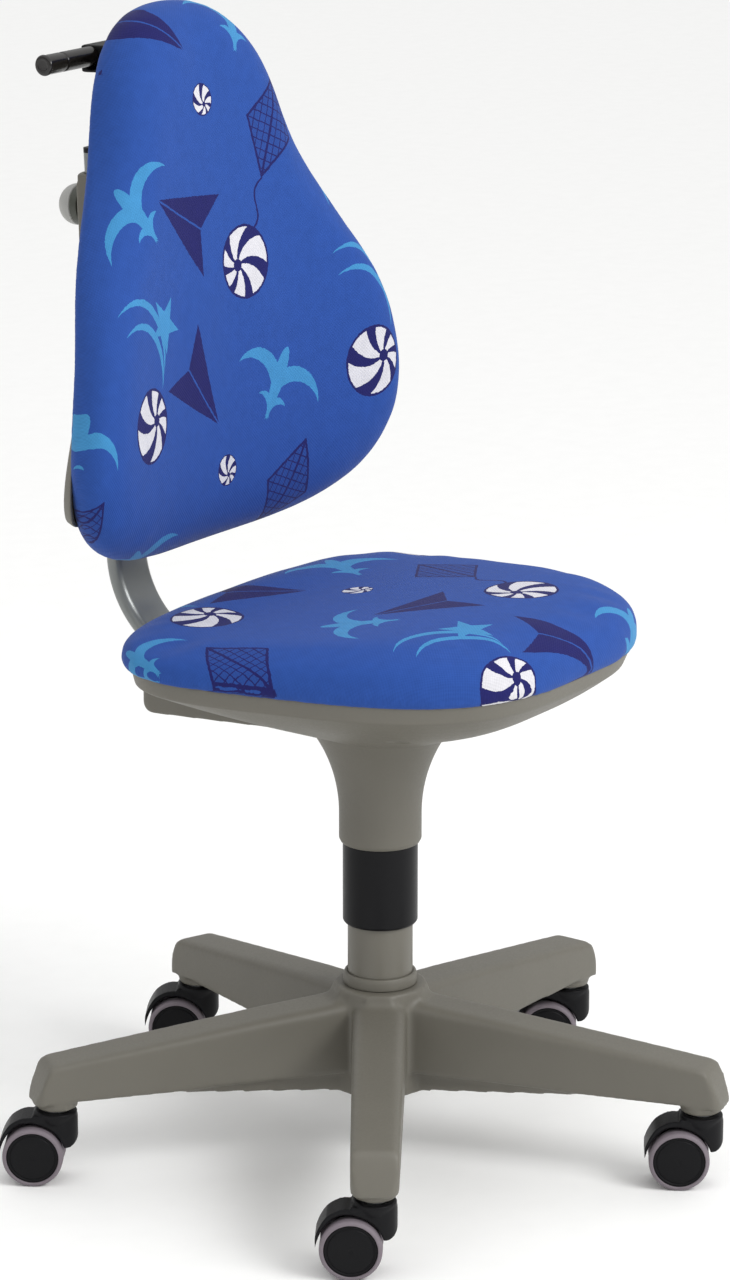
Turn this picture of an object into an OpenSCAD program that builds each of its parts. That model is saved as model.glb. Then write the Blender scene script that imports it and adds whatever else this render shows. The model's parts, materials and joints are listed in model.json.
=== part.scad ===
// Height-adjustable swivel chair for a growing child: five-arm base on twin-wheel castors,
// gas lift under telescoping covers, upholstered seat, and a backrest on a curved flat-oval bar.
// The chair faces -Y, up is +Z, and the origin is on the floor under the column axis.

/* [Castors] */
// Diameter of a castor wheel over its tyre
wheel_d = 49; // [44:1:54]
// Width of one wheel of a castor
wheel_w = 15; // [12:1:18]
// Thickness of the soft tyre
tyre_t = 3.5; // [2:0.5:5]
// Width of the web between the two wheels of a castor
web_w = 8; // [6:1:12]
// Distance from the swivel axis to the wheel centre
castor_trail = 18; // [14:1:22]
// Wall thickness of a castor hood
hood_wall = 3; // [2:0.5:4]
// Gap between a wheel and its hood
hood_gap = 1.5; // [1:0.5:3]
// Width of a castor hood
hood_w = 28; // [24:1:40]
// Diameter of a castor stem
stem_d = 11; // [9:1:12]
// Length of a castor stem above the hood
stem_h = 32; // [26:1:40]
// Diameter of a wheel axle
axle_d = 6; // [4:0.5:8]
// Direction in which the castors trail, counted from +X
castor_heading = 122; // [0:1:359]

/* [Base] */
// Radius from the column axis to the castor stems
castor_circle_r = 273; // [220:1:320]
// Distance that the end of an arm stands past its stem
arm_overhang = 22; // [20:1:26]
// Width of an arm at the hub
arm_w_hub = 44; // [40:1:50]
// Width of an arm at its end
arm_w_tip = 38; // [36:1:40]
// Height of an arm at its end
arm_tip_h = 29; // [26:1:40]
// Rise of an arm's top from its end to the hub
arm_rise = 32; // [20:1:36]
// Height of the hub's top over the arms
hub_step = 10; // [6:1:14]
// Height of the hub
hub_h = 89; // [80:1:100]
// Diameter of the boss round a castor stem
boss_d = 35; // [30:1:36]
// Height of the boss below the arm
boss_h = 8; // [6:1:14]
// Turn of the base under the seat, counted from +X to its first arm
base_turn = -147; // [-180:1:180]

/* [Column] */
// Diameter of the lower column tube
column_d = 53; // [48:1:54]
// Wall thickness of the lower column tube
column_wall = 2; // [1.5:0.5:3]
// Outer diameter of the middle cover
mid_d = 61; // [58:1:62]
// Diameter of the gas cylinder
gas_d = 28; // [26:1:30]
// Diameter of the piston rod
rod_d = 10; // [8:1:12]
// Travel of the seat downwards
lift_down = 80; // [60:1:80]
// Travel of the seat upwards
lift_up = 50; // [30:1:60]
// Outer diameter of the upper cover at its lower end
cone_d = 67; // [64:1:68]
// Length of the upper cover
cone_h = 97; // [90:1:104]
// Height of the straight part of the upper cover
cone_straight = 24; // [16:1:32]
// Radius of the flare of the upper cover
flare_r = 122; // [110:1:150]

/* [Seat] */
// Height of the cushion's lower edge above the floor
rim_z = 428; // [424:1:450]
// Half the width of the seat at its middle
seat_half_w = 189; // [170:1:210]
// Half the depth of the seat
seat_half_d = 175; // [165:1:180]
// Distance that the middle of the seat lies in front of the column
seat_shift = 17; // [10:1:26]
// Share by which the seat widens from its middle to the rear
seat_taper = 0.193; // [0.1:0.01:0.25]
// Squareness of the seat outline, 2 is an ellipse
seat_square = 3.3; // [2.6:0.1:4.2]
// Height of the seat cushion over its lower edge
seat_crown = 30; // [26:1:36]
// Height of the band round the seat pan
band_h = 21; // [18:1:26]
// Wall thickness of the seat pan
pan_wall = 3; // [2:0.5:4]
// Thickness of the seat board
board_t = 12; // [9:1:14]
// Half the width of the housing for the back bar
housing_half_w = 42; // [38:1:48]
// Distance from the column axis to the rear end of the housing
housing_rear = 205; // [190:1:215]

/* [Release lever] */
// Distance from the column axis to the lever's pivot
pivot_x = 45; // [40:1:55]
// Diameter of the lever rod
lever_d = 8; // [6:1:8]
// Travel of the release button
button_travel = 3.5; // [2:0.5:4]
// Distance from the column axis to the end of the lever's grip
lever_reach = 240; // [225:1:260]

/* [Back bar] */
// Width of the flat-oval back bar
bar_w = 45; // [40:1:48]
// Thickness of the back bar
bar_t = 14; // [12:1:16]
// Wall thickness of the back bar
bar_wall = 2; // [1.5:0.5:3]
// Bend radius of the back bar
bar_bend_r = 82; // [76:1:90]
// Distance from the column axis to where the bend begins
bend_y = 171; // [160:1:175]
// Lean of the bar's upright from the vertical
bar_lean = 3; // [2:0.5:5]
// Length of the bar's upright
bar_upright = 335; // [325:1:345]
// Travel of the back bar into the seat
depth_in = 30; // [20:1:32]
// Travel of the back bar out of the seat
depth_out = 20; // [10:1:30]

/* [Backrest] */
// Half the width of the backrest at its middle
back_half_w = 183; // [160:1:190]
// Height of the backrest
back_h = 438; // [420:1:450]
// Share by which the backrest narrows from its middle to the top
back_taper = 0.39; // [0.3:0.01:0.45]
// Share by which the sides of the backrest are drawn in above its middle
back_waist = 0.138; // [0:0.002:0.16]
// Squareness of the backrest outline, 2 is an ellipse
back_square = 2.8; // [2.4:0.1:3.2]
// Thickness of the backrest cushion
back_t = 54; // [40:1:60]
// Height of the backrest's lower edge above the floor
back_z = 487; // [484:1:500]
// Distance from the column axis to the rear of the cushion at its lower edge
back_y = 195; // [190:1:200]
// Lean of the backrest from the vertical
back_lean = 5; // [4:0.5:6]
// Forward bow of the backrest between its top and lower edge
back_bow = 7; // [4:1:12]
// Forward wrap of the backrest's wings at 180 mm from the middle
back_wrap = 38; // [30:1:44]
// Travel of the backrest up the bar
back_up = 40; // [30:1:42]
// Travel of the backrest down the bar
back_down = 25; // [10:1:25]
// Diameter of the clamp knob
knob_d = 34; // [32:1:38]
// Length of the handle bar
handle_l = 170; // [150:1:190]
// Diameter of the handle bar
handle_d = 16; // [14:1:20]

/* [Hidden] */
$fn = 64;
CASTORS = [1, 2, 3, 4, 5];
PIECES = ["base_star", "stem_sleeves", "collar_ring", "column_tube", "guide_bush",
    "thrust_bearing", "piston_rod", "piston", "buffer_ring", "rod_clip", "mid_tube",
    "gas_cylinder", "cylinder_seal", "release_button", "upper_cone", "mechanism_plate",
    "seat_pan", "seat_board", "seat_cushion", "seat_screws", "lever_pin", "release_lever",
    "lever_grip", "back_bar", "bar_cap", "depth_screw", "depth_knob", "back_shell",
    "back_board", "back_cushion", "back_housing", "back_screws", "clamp_collar",
    "clamp_screw", "clamp_knob", "handle_bracket", "handle_bar", "handle_caps"];

// Clearances: a running fit, a fixed piece in its seat, a sliding pair and a free gap
run_fit = 0.05;
seat_fit = 0.05;
slide_fit = 0.3;
free_gap = 1;
stop_gap = 2;

// Castor places
wheel_r = wheel_d / 2;
hood_r = wheel_r + hood_gap + hood_wall;
hood_rise = hood_wall / 2;
hood_step = 2.5;
hood_top = wheel_r + hood_rise + hood_r + hood_step;
collar_t = 2.4;
flange_t = 1.7;
boss_z = hood_top + slide_fit + collar_t + slide_fit + flange_t;
stem_top = hood_top + stem_h;
stem_low = hood_top - 8;
wheel_in = web_w / 2 + 0.6;
castor_w = 2 * (wheel_in + wheel_w);
socket_r = stem_d / 2 + 2;
socket_h = stem_top + stop_gap - boss_z;

// Base places
arm_tip_r = castor_circle_r + arm_overhang;
arm_low = boss_z + boss_h;
arm_tip_top = arm_low + arm_tip_h;
arm_top = arm_tip_top + arm_rise;
hub_top = arm_top + hub_step;
hub_z = hub_top - hub_h;
hub_r = 38;
arm_slope = atan(arm_rise / (arm_tip_r - hub_r));
arm_round = 9;
arm_wall = 5;
keel_w = 26;
keel_rib_t = 3;
keel_reach = castor_circle_r * 0.62;
keel_top = arm_top - 20;
ledge_h = 4;

// Column places
column_r = column_d / 2;
column_z = hub_z + ledge_h;
floor_t = 3;
bearing_h = 5;
shoulder_h = 2;
buffer_h = 10;
collar_h = 10;
collar_top = hub_top + collar_h;
mid_z = collar_top + lift_down / 2 + stop_gap;
cone_top = rim_z - 69;
cone_z = cone_top - slide_fit - cone_h;
mid_overlap = 19;
mid_top = cone_z + lift_up / 2 + mid_overlap;
column_top = mid_z + lift_up / 2 + mid_overlap;
mid_wall = 2.5;
gas_r = gas_d / 2;
gas_wall = 2;
gas_z = column_z + floor_t + bearing_h + shoulder_h + buffer_h + lift_down + stop_gap;
gas_top = rim_z - 29;
plug_h = 33;
seal_z = gas_z + 2;
seal_h = 10;
rod_r = rod_d / 2;
rod_z = column_z - 5;
piston_z = seal_z + seal_h + lift_up + 4;
piston_h = 8;
button_r = 4;

// Seat places: the plate lies over the bar's sleeve and under the lever and the board
band_z = rim_z - band_h;
board_z = rim_z - board_t;
plate_t = 3;
plate_z = rim_z - 30;
plate_half_w = 60;
plate_front = -70;
plate_rear = 110;
flange_w = 24;
sleeve_t = 2.5;
bar_z = plate_z - sleeve_t - bar_t / 2 - slide_fit;
sleeve_front = 35;
sleeve_rear = 158;
pan_floor_r = 62;
pan_floor_shift = 8;
housing_z = cone_top - 8;
housing_wall = 3;
board_inset = pan_wall + 6.5;
post_r = 9;
screw_r = 2.5;
head_r = 5;
head_h = 4;
pan_screw_z = band_z - 10;
PAN_SCREWS = [[-95, -80], [95, -80], [-105, 75], [105, 75]];
PLATE_SCREWS = [[-72, -50], [72, -50], [-72, 90], [72, 90]];
lever_z = plate_z + plate_t + 9.5;
lever_fall = 6.5;
lever_drop = (lever_reach - pivot_x) * tan(lever_fall);
slot_half_w = 8;
slot_front = 110;
button_top = lever_z - lever_d / 2 - 0.5;
pin_r = 2.5;
ear_t = 3;
ear_gap = 6.3;

// Back bar places, on the centre line of the bar
bend_z = bar_z + bar_bend_r;
bar_front = gas_r + 6 + depth_in + 4;
upright_y = bend_y + bar_bend_r * cos(bar_lean);
upright_z = bend_z - bar_bend_r * sin(bar_lean);
depth_knob_y = 150;
depth_knob_d = 30;
depth_knob_x = housing_half_w + 3;
depth_screw_r = 4;

// Backrest places: heights are measured up the bar from the start of its upright
shell_t = 3.5;
backboard_t = 6;
skin_gap = 0.8;
shell_back = -skin_gap - backboard_t - skin_gap - shell_t;
sleeve_low = 160;
sleeve_high = 345;
sleeve_wall = 4;
mount_half_w = 38;
mount_rear = -36;
mount_screw_r = 2;
MOUNT_SCREWS = [for (x = [-32, 32]) each [[x, sleeve_low + 14, 21], [x, sleeve_high - 14, 16]]];
knob_up = 289;
knob_boss_r = 16;
knob_boss_h = 8;
clamp_r = 4;
collar_ring_t = 7;
knob_bite = 9;
handle_drop = 28;
handle_up = back_h - handle_drop;
handle_back = -9;
handle_block_half = 22;
handle_wall = 2;

// Point on a rounded outline that widens along its second axis and may have a waist
function egg(half_w, half_d, taper, square, turn, waist = 0) =
    let (c = cos(turn), s = sin(turn), p = 2 / square)
    let (across = sign(c) * pow(abs(c), p), along = sign(s) * pow(abs(s), p))
    let (drawn_in = waist * exp(-pow((along - 0.45) / 0.35, 2)))
    [half_w * (1 + taper * along - drawn_in) * across, half_d * along];

// Outline of the seat, drawn in by an inset
function seat_ring(inset, z, count = 60) = [for (i = [0:count - 1])
    let (q = egg(seat_half_w - inset, seat_half_d - inset, seat_taper, seat_square, 360 * i / count))
    [q[0], q[1] - seat_shift, z]];

// Point of the backrest: across, up and forward of the cushion's rear face
function back_point(u, v, w) =
    let (bow = back_bow * sin(180 * max(0, min(1, v / back_h))))
    let (f = w + back_wrap * pow(u / 180, 2) + bow)
    [u, back_y - f * cos(back_lean) + v * sin(back_lean),
        back_z + v * cos(back_lean) + f * sin(back_lean)];

// Outline of the backrest, drawn in by an inset, at a distance forward of its rear face
function back_ring(inset, w, count = 60) = [for (i = [0:count - 1])
    let (q = egg(back_half_w - inset, back_h / 2 - inset, -back_taper, back_square, 360 * i / count, back_waist))
    back_point(q[0], back_h / 2 + q[1], w)];

function flat(points) = [for (p = points) [p[0], p[1]]];

// Closed solid through a stack of rings of equal count, with a fan to a point at each end
module loft(rings, first, last) {
    n = len(rings[0]);
    m = len(rings);
    walls = [for (r = [0:m - 2]) for (i = [0:n - 1]) let (j = (i + 1) % n)
        each [[r * n + i, r * n + j, (r + 1) * n + j], [r * n + i, (r + 1) * n + j, (r + 1) * n + i]]];
    start = [for (i = [0:n - 1]) [m * n, (i + 1) % n, i]];
    end = [for (i = [0:n - 1]) [m * n + 1, (m - 1) * n + i, (m - 1) * n + (i + 1) % n]];
    polyhedron([for (r = rings) each r, first, last], [for (f = concat(walls, start, end)) [f[2], f[1], f[0]]]);
}

// Flat-oval section, or a plain slot shape
module oval(w, t) {
    square([w - t, t], center = true);
    for (s = [-1, 1]) translate([s * (w - t) / 2, 0]) rotate(90) circle(t / 2);
}

// Rounded rectangle made of bars and corner circles
module rounded(w, d, r) {
    square([w - 2 * r, d], center = true);
    square([w, d - 2 * r], center = true);
    for (x = [-1, 1], y = [-1, 1]) translate([x * (w / 2 - r), y * (d / 2 - r)]) circle(r);
}

module tube(r_out, r_in, h) {
    difference() {
        cylinder(r = r_out, h = h);
        translate([0, 0, -1]) cylinder(r = r_in, h = h + 2);
    }
}

// Disc along X, between two places on that axis
module across(x0, x1, r) {
    translate([x0, 0, 0]) rotate([0, 90, 0]) cylinder(r = r, h = x1 - x0);
}

module at_arm(n) {
    rotate(base_turn + 72 * (n - 1)) children();
}

// Puts a castor part under its arm, turned to the common heading
module at_castor(n) {
    turn = base_turn + 72 * (n - 1);
    translate([castor_circle_r * cos(turn), castor_circle_r * sin(turn), 0]) rotate(castor_heading) children();
}

// Places a part on the bar's upright, a distance up it, with +Y out of its rear face
module on_upright(up) {
    translate([0, upright_y, upright_z]) rotate([-bar_lean, 0, 0]) translate([0, 0, up]) children();
}

// Side view of an arm: its far end leans in as an arc, and its underside rises to the end
module arm_side() {
    end_r = 60;
    start = 10;
    lip = 2;
    arc = [for (a = [55:-5:start]) [arm_tip_r - end_r * (cos(start) - cos(a)),
        arm_low + lip + end_r * (sin(a) - sin(start))]];
    polygon(concat([[0, arm_low + lip], [0, hub_top + hub_step], [arc[0][0], hub_top + hub_step]], arc,
        [[arm_tip_r - lip, arm_low], [keel_reach, arm_low]]));
}

// Plan of an arm, tapered and rounded at its end
module arm_plan() {
    corner = 10;
    square_r = arm_tip_r - corner;
    polygon([[0, arm_w_hub / 2], [square_r, arm_w_tip / 2], [square_r, -arm_w_tip / 2], [0, -arm_w_hub / 2]]);
    polygon([[square_r - 1, arm_w_tip / 2 - corner], [arm_tip_r, arm_w_tip / 2 - corner],
        [arm_tip_r, corner - arm_w_tip / 2], [square_r - 1, corner - arm_w_tip / 2]]);
    for (s = [-1, 1]) translate([square_r, s * (arm_w_tip / 2 - corner)]) circle(corner);
}

// Cross-section of an arm with rounded upper edges, its top at zero
module arm_section(w) {
    translate([-w / 2, -2 * arm_tip_h - arm_round]) square([w, 2 * arm_tip_h]);
    translate([-w / 2 + arm_round, -arm_tip_h]) square([w - 2 * arm_round, arm_tip_h]);
    for (s = [-1, 1]) translate([s * (w / 2 - arm_round), -arm_round]) circle(arm_round);
}

module arm() {
    length = arm_tip_r + 10;
    intersection() {
        rotate([90, 0, 0]) linear_extrude(2 * arm_w_hub, center = true) arm_side();
        translate([0, 0, hub_z]) linear_extrude(hub_h + 60) arm_plan();
        translate([hub_r, 0, arm_top]) rotate([0, arm_slope, 0]) rotate([0, 0, -90]) rotate([90, 0, 0])
            linear_extrude(2 * length, center = true) arm_section(arm_w_hub);
    }
}

// Hollow curve between the top of an arm and the hub
module arm_fillet() {
    sink = 0.5;
    low = arm_top - hub_step * tan(arm_slope) - sink;
    rotate([90, 0, 0]) linear_extrude(arm_w_hub - 2 * arm_round - 2, center = true)
        polygon(concat([[0, low - hub_step], [0, low + hub_step]],
            [for (a = [0:10:90]) [hub_r + hub_step * (1 - cos(a)), low + hub_step * (1 - sin(a))]],
            [[hub_r + hub_step, low - hub_step]]));
}

// Deeper rib under an arm, from the hub outwards
module keel(w, top_cut, bottom_cut) {
    rotate([90, 0, 0]) linear_extrude(w, center = true)
        polygon([[0, hub_z + 2 - bottom_cut], [hub_r, hub_z + 2 - bottom_cut], [keel_reach, arm_low - 4 - bottom_cut],
            [keel_reach + 14, arm_low + 2], [keel_reach + 14, arm_low + 6], [hub_r, keel_top - top_cut],
            [0, keel_top - top_cut]]);
}

module base_star() {
    cavity_w = keel_w - 2 * arm_wall;
    color("#6f6c64") difference() {
        union() {
            translate([0, 0, hub_z]) cylinder(r = hub_r, h = hub_h);
            for (n = CASTORS) at_arm(n) {
                arm();
                arm_fillet();
                keel(keel_w, 0, 0);
                translate([castor_circle_r, 0, boss_z]) cylinder(d = boss_d, h = boss_h + 4);
            }
        }
        for (n = CASTORS) at_arm(n) {
            translate([castor_circle_r, 0, boss_z - 1]) cylinder(r = socket_r, h = socket_h + 1);
            intersection() {
                keel(cavity_w, 16, 1);
                for (s = [0, 1]) mirror([0, s, 0]) translate([hub_r + arm_wall, keel_rib_t / 2, 0])
                    cube([castor_circle_r, hub_r, hub_top]);
            }
        }
        translate([0, 0, column_z]) cylinder(r = column_r + seat_fit, h = hub_h);
        translate([0, 0, hub_z - 1]) cylinder(r = column_r - 4, h = hub_h);
    }
}

module stem_sleeves() {
    color("#b9b8b2") for (n = CASTORS) at_arm(n) translate([castor_circle_r, 0, 0]) difference() {
        union() {
            translate([0, 0, boss_z - flange_t]) cylinder(r = stem_d / 2 + 5, h = flange_t);
            translate([0, 0, boss_z]) cylinder(r = socket_r - seat_fit, h = socket_h - 1);
        }
        translate([0, 0, boss_z - flange_t - 1]) cylinder(r = stem_d / 2 + run_fit, h = socket_h + 4);
    }
}

module collar_ring() {
    ring_r = column_r + 2.5;
    color("#67645c") translate([0, 0, hub_top]) rotate_extrude()
        polygon([[column_r + seat_fit, 0], [ring_r + 1, 0], [ring_r + 1, collar_h - 3], [ring_r, collar_h],
            [column_r + seat_fit, collar_h]]);
}

module column_tube() {
    color("#74716a") translate([0, 0, column_z]) difference() {
        cylinder(r = column_r, h = column_top - column_z);
        translate([0, 0, floor_t]) cylinder(r = column_r - column_wall, h = column_top);
        translate([0, 0, -1]) cylinder(r = rod_r + run_fit, h = floor_t + 2);
    }
}

module guide_bush() {
    bush_h = 60;
    bore_r = gas_r + run_fit;
    color("#d8d6cf") translate([0, 0, column_top - bush_h]) difference() {
        union() {
            cylinder(r = column_r - column_wall - seat_fit, h = bush_h);
            translate([0, 0, bush_h]) cylinder(r = column_r, h = 3);
        }
        translate([0, 0, -1]) cylinder(r = bore_r, h = bush_h + 5);
    }
}

module thrust_bearing() {
    color("#a9abad") translate([0, 0, column_z + floor_t]) tube(rod_r + 9, rod_r + slide_fit, bearing_h - 0.1);
}

module piston_rod() {
    shoulder_z = column_z + floor_t + bearing_h;
    color("#c8cacc") {
        translate([0, 0, rod_z]) cylinder(r = rod_r, h = piston_z - rod_z);
        translate([0, 0, shoulder_z]) cylinder(r = rod_r + 5, h = shoulder_h);
    }
}

module piston() {
    color("#3c3e40") translate([0, 0, piston_z]) cylinder(r = gas_r - gas_wall - 2 * run_fit, h = piston_h);
}

module buffer_ring() {
    color("#232323") translate([0, 0, column_z + floor_t + bearing_h + shoulder_h])
        tube(rod_r + 7, rod_r + seat_fit, buffer_h);
}

module rod_clip() {
    color("#b0b2b4") translate([0, 0, column_z - 2]) tube(rod_r + 4, rod_r + seat_fit, 2 - slide_fit);
}

module mid_tube() {
    mid_r = mid_d / 2;
    lip_h = 8;
    inner_r = mid_r - mid_wall;
    lip_r = column_r + slide_fit;
    color("#242424") rotate_extrude()
        polygon([[lip_r, mid_z], [mid_r - 1.5, mid_z], [mid_r, mid_z + 2], [mid_r, mid_top], [inner_r, mid_top],
            [inner_r, mid_z + lip_h], [lip_r, mid_z + lip_h]]);
}

module gas_cylinder() {
    color("#1f2022") difference() {
        translate([0, 0, gas_z]) cylinder(r = gas_r, h = gas_top - gas_z);
        translate([0, 0, gas_z - 1]) cylinder(r = gas_r - gas_wall, h = gas_top - plug_h - gas_z + 1);
        translate([0, 0, gas_top - plug_h + 4]) cylinder(r = button_r + run_fit, h = plug_h);
    }
}

module cylinder_seal() {
    color("#2c2c2c") translate([0, 0, seal_z]) tube(gas_r - gas_wall - seat_fit, rod_r + run_fit, seal_h);
}

module release_button() {
    button_z = gas_top - plug_h + 4 + button_travel + free_gap;
    color("#c0392b") translate([0, 0, button_z]) cylinder(r = button_r, h = button_top - button_z);
}

// Radius of the upper cover at a height over its lower end
function cone_r(h) =
    let (rise = max(0, h - cone_straight))
    cone_d / 2 + flare_r - sqrt(flare_r * flare_r - rise * rise);

module upper_cone() {
    cone_wall = 2.2;
    steps = [for (i = [0:14]) 3 + (cone_h - 3) * i / 14];
    inner_r = mid_d / 2 + slide_fit;
    color("#716e66") translate([0, 0, cone_z]) rotate_extrude()
        polygon(concat([[inner_r, 0], [cone_d / 2 - 1.5, 0]], [for (h = steps) [cone_r(h), h]],
            [for (i = [14:-1:1]) [max(inner_r, cone_r(steps[i]) - cone_wall), steps[i]]]));
}

// Pressed plate with side walls, flanges under the board, a sleeve for the bar and the lever's ears
module mechanism_plate() {
    sleeve_w = bar_w + 2 * slide_fit;
    sleeve_h = bar_t + 2 * slide_fit;
    sleeve_l = sleeve_rear - sleeve_front;
    length = plate_rear - plate_front;
    ear_w = 14;
    color("#8b8e90") difference() {
        union() {
            translate([-plate_half_w, plate_front, plate_z]) cube([2 * plate_half_w, length, plate_t]);
            for (s = [0, 1]) mirror([s, 0, 0]) {
                translate([plate_half_w - plate_t, plate_front, plate_z]) cube([plate_t, length, board_z - plate_z]);
                translate([plate_half_w - plate_t, plate_front, board_z - plate_t])
                    cube([flange_w + plate_t, length, plate_t]);
            }
            for (y = [-ear_gap - ear_t, ear_gap]) translate([pivot_x - ear_w / 2, y, plate_z])
                cube([ear_w, ear_t, board_z - plate_z - free_gap]);
            translate([0, 0, cone_top + 5]) cylinder(r = gas_r + 6, h = plate_z - cone_top - 5);
            translate([0, sleeve_front + sleeve_l / 2, bar_z])
                cube([sleeve_w + 2 * sleeve_t, sleeve_l, sleeve_h + 2 * sleeve_t], center = true);
        }
        translate([0, 0, cone_top]) cylinder(r = gas_r + run_fit, h = rim_z - cone_top);
        translate([0, sleeve_front + sleeve_l / 2, bar_z]) cube([sleeve_w, sleeve_l + 2, sleeve_h], center = true);
        translate([pivot_x, 20, lever_z]) rotate([90, 0, 0]) cylinder(r = pin_r + run_fit, h = 40);
        translate([pivot_x + ear_w / 2 + 2, -slot_half_w, plate_z + plate_t])
            cube([flange_w * 2, 2 * slot_half_w, 2 * flange_w]);
        for (q = PLATE_SCREWS) translate([q[0], q[1], board_z - 10]) cylinder(r = screw_r + run_fit, h = 20);
        translate([0, depth_knob_y, bar_z]) across(bar_w / 2, housing_half_w, depth_screw_r + run_fit);
        translate([-sleeve_w / 2, bend_y - depth_in - 1, bar_z]) cube([sleeve_w, bar_bend_r, 2 * sleeve_h]);
    }
}

// Outer or inner form of the seat pan: band, funnel and the trough for the back bar
module pan_form(wall) {
    low = cone_top + wall;
    hull() {
        translate([0, 0, band_z + wall / 2]) linear_extrude(0.1) polygon(flat(seat_ring(7 + wall, 0)));
        translate([0, -pan_floor_shift, low]) cylinder(r = pan_floor_r - wall / 2, h = 0.1, $fn = 32);
    }
    hull() {
        translate([0, 0, band_z + wall / 2]) linear_extrude(0.1) polygon(flat(seat_ring(7 + wall, 0)));
        translate([0, 0, rim_z - 0.1 + wall]) linear_extrude(0.1) polygon(flat(seat_ring(3 + wall, 0)));
    }
}

// The trough's lower rear edge is rounded
module housing_form(wall, top) {
    w = 2 * (housing_half_w - wall);
    r = 12 - wall;
    rear = housing_rear - wall;
    low = housing_z + wall;
    intersection() {
        translate([0, (rear - 20) / 2, low]) linear_extrude(top - low) rounded(w, rear + 20, r);
        rotate([90, 0, 90]) linear_extrude(w, center = true) {
            translate([-20, low]) square([rear + 20 - r, top - low]);
            translate([-20, low + r]) square([rear + 20, top - low - r]);
            translate([rear - r, low + r]) circle(r);
        }
    }
}

module seat_pan() {
    trough_top = band_z - 2;
    post_h = board_z - cone_top;
    slot_z = lever_z - lever_drop - lever_d;
    color("#75726a") difference() {
        union() {
            pan_form(0);
            housing_form(0, trough_top);
        }
        difference() {
            pan_form(pan_wall);
            for (q = PAN_SCREWS) translate([q[0], q[1], cone_top]) cylinder(r = post_r, h = post_h);
        }
        housing_form(housing_wall, trough_top + 1);
        translate([0, 0, housing_z - 1])
            cylinder(r = cone_r(cone_h) + 2 * slide_fit, h = cone_top - housing_z + 1);
        translate([0, 0, housing_z - 1]) cylinder(r = gas_r + 7, h = band_z - housing_z);
        translate([-bar_w / 2 - 2, housing_rear - 30, bar_z - bar_t / 2 - 3]) cube([bar_w + 4, 60, 60]);
        translate([slot_front, -slot_half_w, slot_z]) cube([seat_half_w, 2 * slot_half_w, board_z - 1 - slot_z]);
        translate([0, depth_knob_y, bar_z]) across(housing_half_w - housing_wall - 1, housing_half_w + 1,
            depth_screw_r + free_gap);
        for (q = PAN_SCREWS) translate([q[0], q[1], housing_z]) {
            cylinder(r = screw_r + run_fit, h = rim_z - housing_z);
            cylinder(r = head_r + 1.5, h = pan_screw_z + head_h - housing_z);
        }
    }
}

module seat_board() {
    color("#c9a77a") difference() {
        translate([0, 0, board_z]) linear_extrude(board_t) polygon(flat(seat_ring(board_inset, 0)));
        for (q = concat(PAN_SCREWS, PLATE_SCREWS)) translate([q[0], q[1], board_z - 1])
            cylinder(r = screw_r + run_fit, h = board_t - 2);
    }
}

module seat_cushion() {
    base = rim_z + slide_fit;
    profile = [[8, 0], [3, 0.17], [0, 0.37], [2, 0.58], [8, 0.75], [20, 0.86], [45, 0.94], [90, 0.985]];
    rings = concat([seat_ring(90, base)], [for (q = profile) seat_ring(q[0], base + q[1] * seat_crown)]);
    color("#3159ad") loft(rings, [0, -seat_shift, base], [0, -seat_shift, base + seat_crown]);
}

module seat_screws() {
    bite = 8;
    color("#9a9c9e") {
        for (q = PAN_SCREWS) translate([q[0], q[1], pan_screw_z]) {
            cylinder(r = screw_r, h = board_z + bite - pan_screw_z);
            cylinder(r = head_r, h = head_h);
        }
        for (q = PLATE_SCREWS) translate([q[0], q[1], board_z - plate_t]) {
            cylinder(r = screw_r, h = plate_t + bite);
            translate([0, 0, -head_h]) cylinder(r = head_r, h = head_h);
        }
    }
}

module lever_pin() {
    half = ear_gap + ear_t + 1;
    color("#b7b9bb") translate([pivot_x, half, lever_z]) rotate([90, 0, 0]) cylinder(r = pin_r, h = 2 * half);
}

module release_lever() {
    rod_end = lever_reach - 30;
    color("#2b2c2e") difference() {
        union() {
            translate([0, 0, lever_z]) across(-lever_d / 2, pivot_x, lever_d / 2);
            translate([pivot_x, 0, lever_z]) rotate([0, lever_fall, 0]) across(0, rod_end - pivot_x, lever_d / 2);
            translate([pivot_x, ear_gap - slide_fit, lever_z]) rotate([90, 0, 0])
                cylinder(r = lever_d / 2 + 1, h = 2 * (ear_gap - slide_fit));
        }
        translate([pivot_x, 10, lever_z]) rotate([90, 0, 0]) cylinder(r = pin_r + run_fit, h = 20);
    }
}

module lever_grip() {
    start = lever_reach - pivot_x - 62;
    blade_w = 30;
    color("#2a2b2d") translate([pivot_x, 0, lever_z]) rotate([0, lever_fall, 0]) difference() {
        union() {
            across(start, start + 24, lever_d / 2 + 2.5);
            translate([start + 40, 0, -6]) linear_extrude(12) rounded(44, blade_w, 10);
        }
        across(start - 1, lever_reach - 30 - pivot_x + free_gap, lever_d / 2 + seat_fit);
    }
}

// Flat-oval ring of the back bar round a place on its centre line, turned from the level
function bar_ring(y, z, turn, w, t) =
    [for (s = [1, -1]) for (a = [-90:15:90])
        let (x = s * ((w - t) / 2 + t / 2 * cos(a)), n = s * t / 2 * sin(a))
        [-x, y - n * sin(turn), z + n * cos(turn)]];

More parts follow.
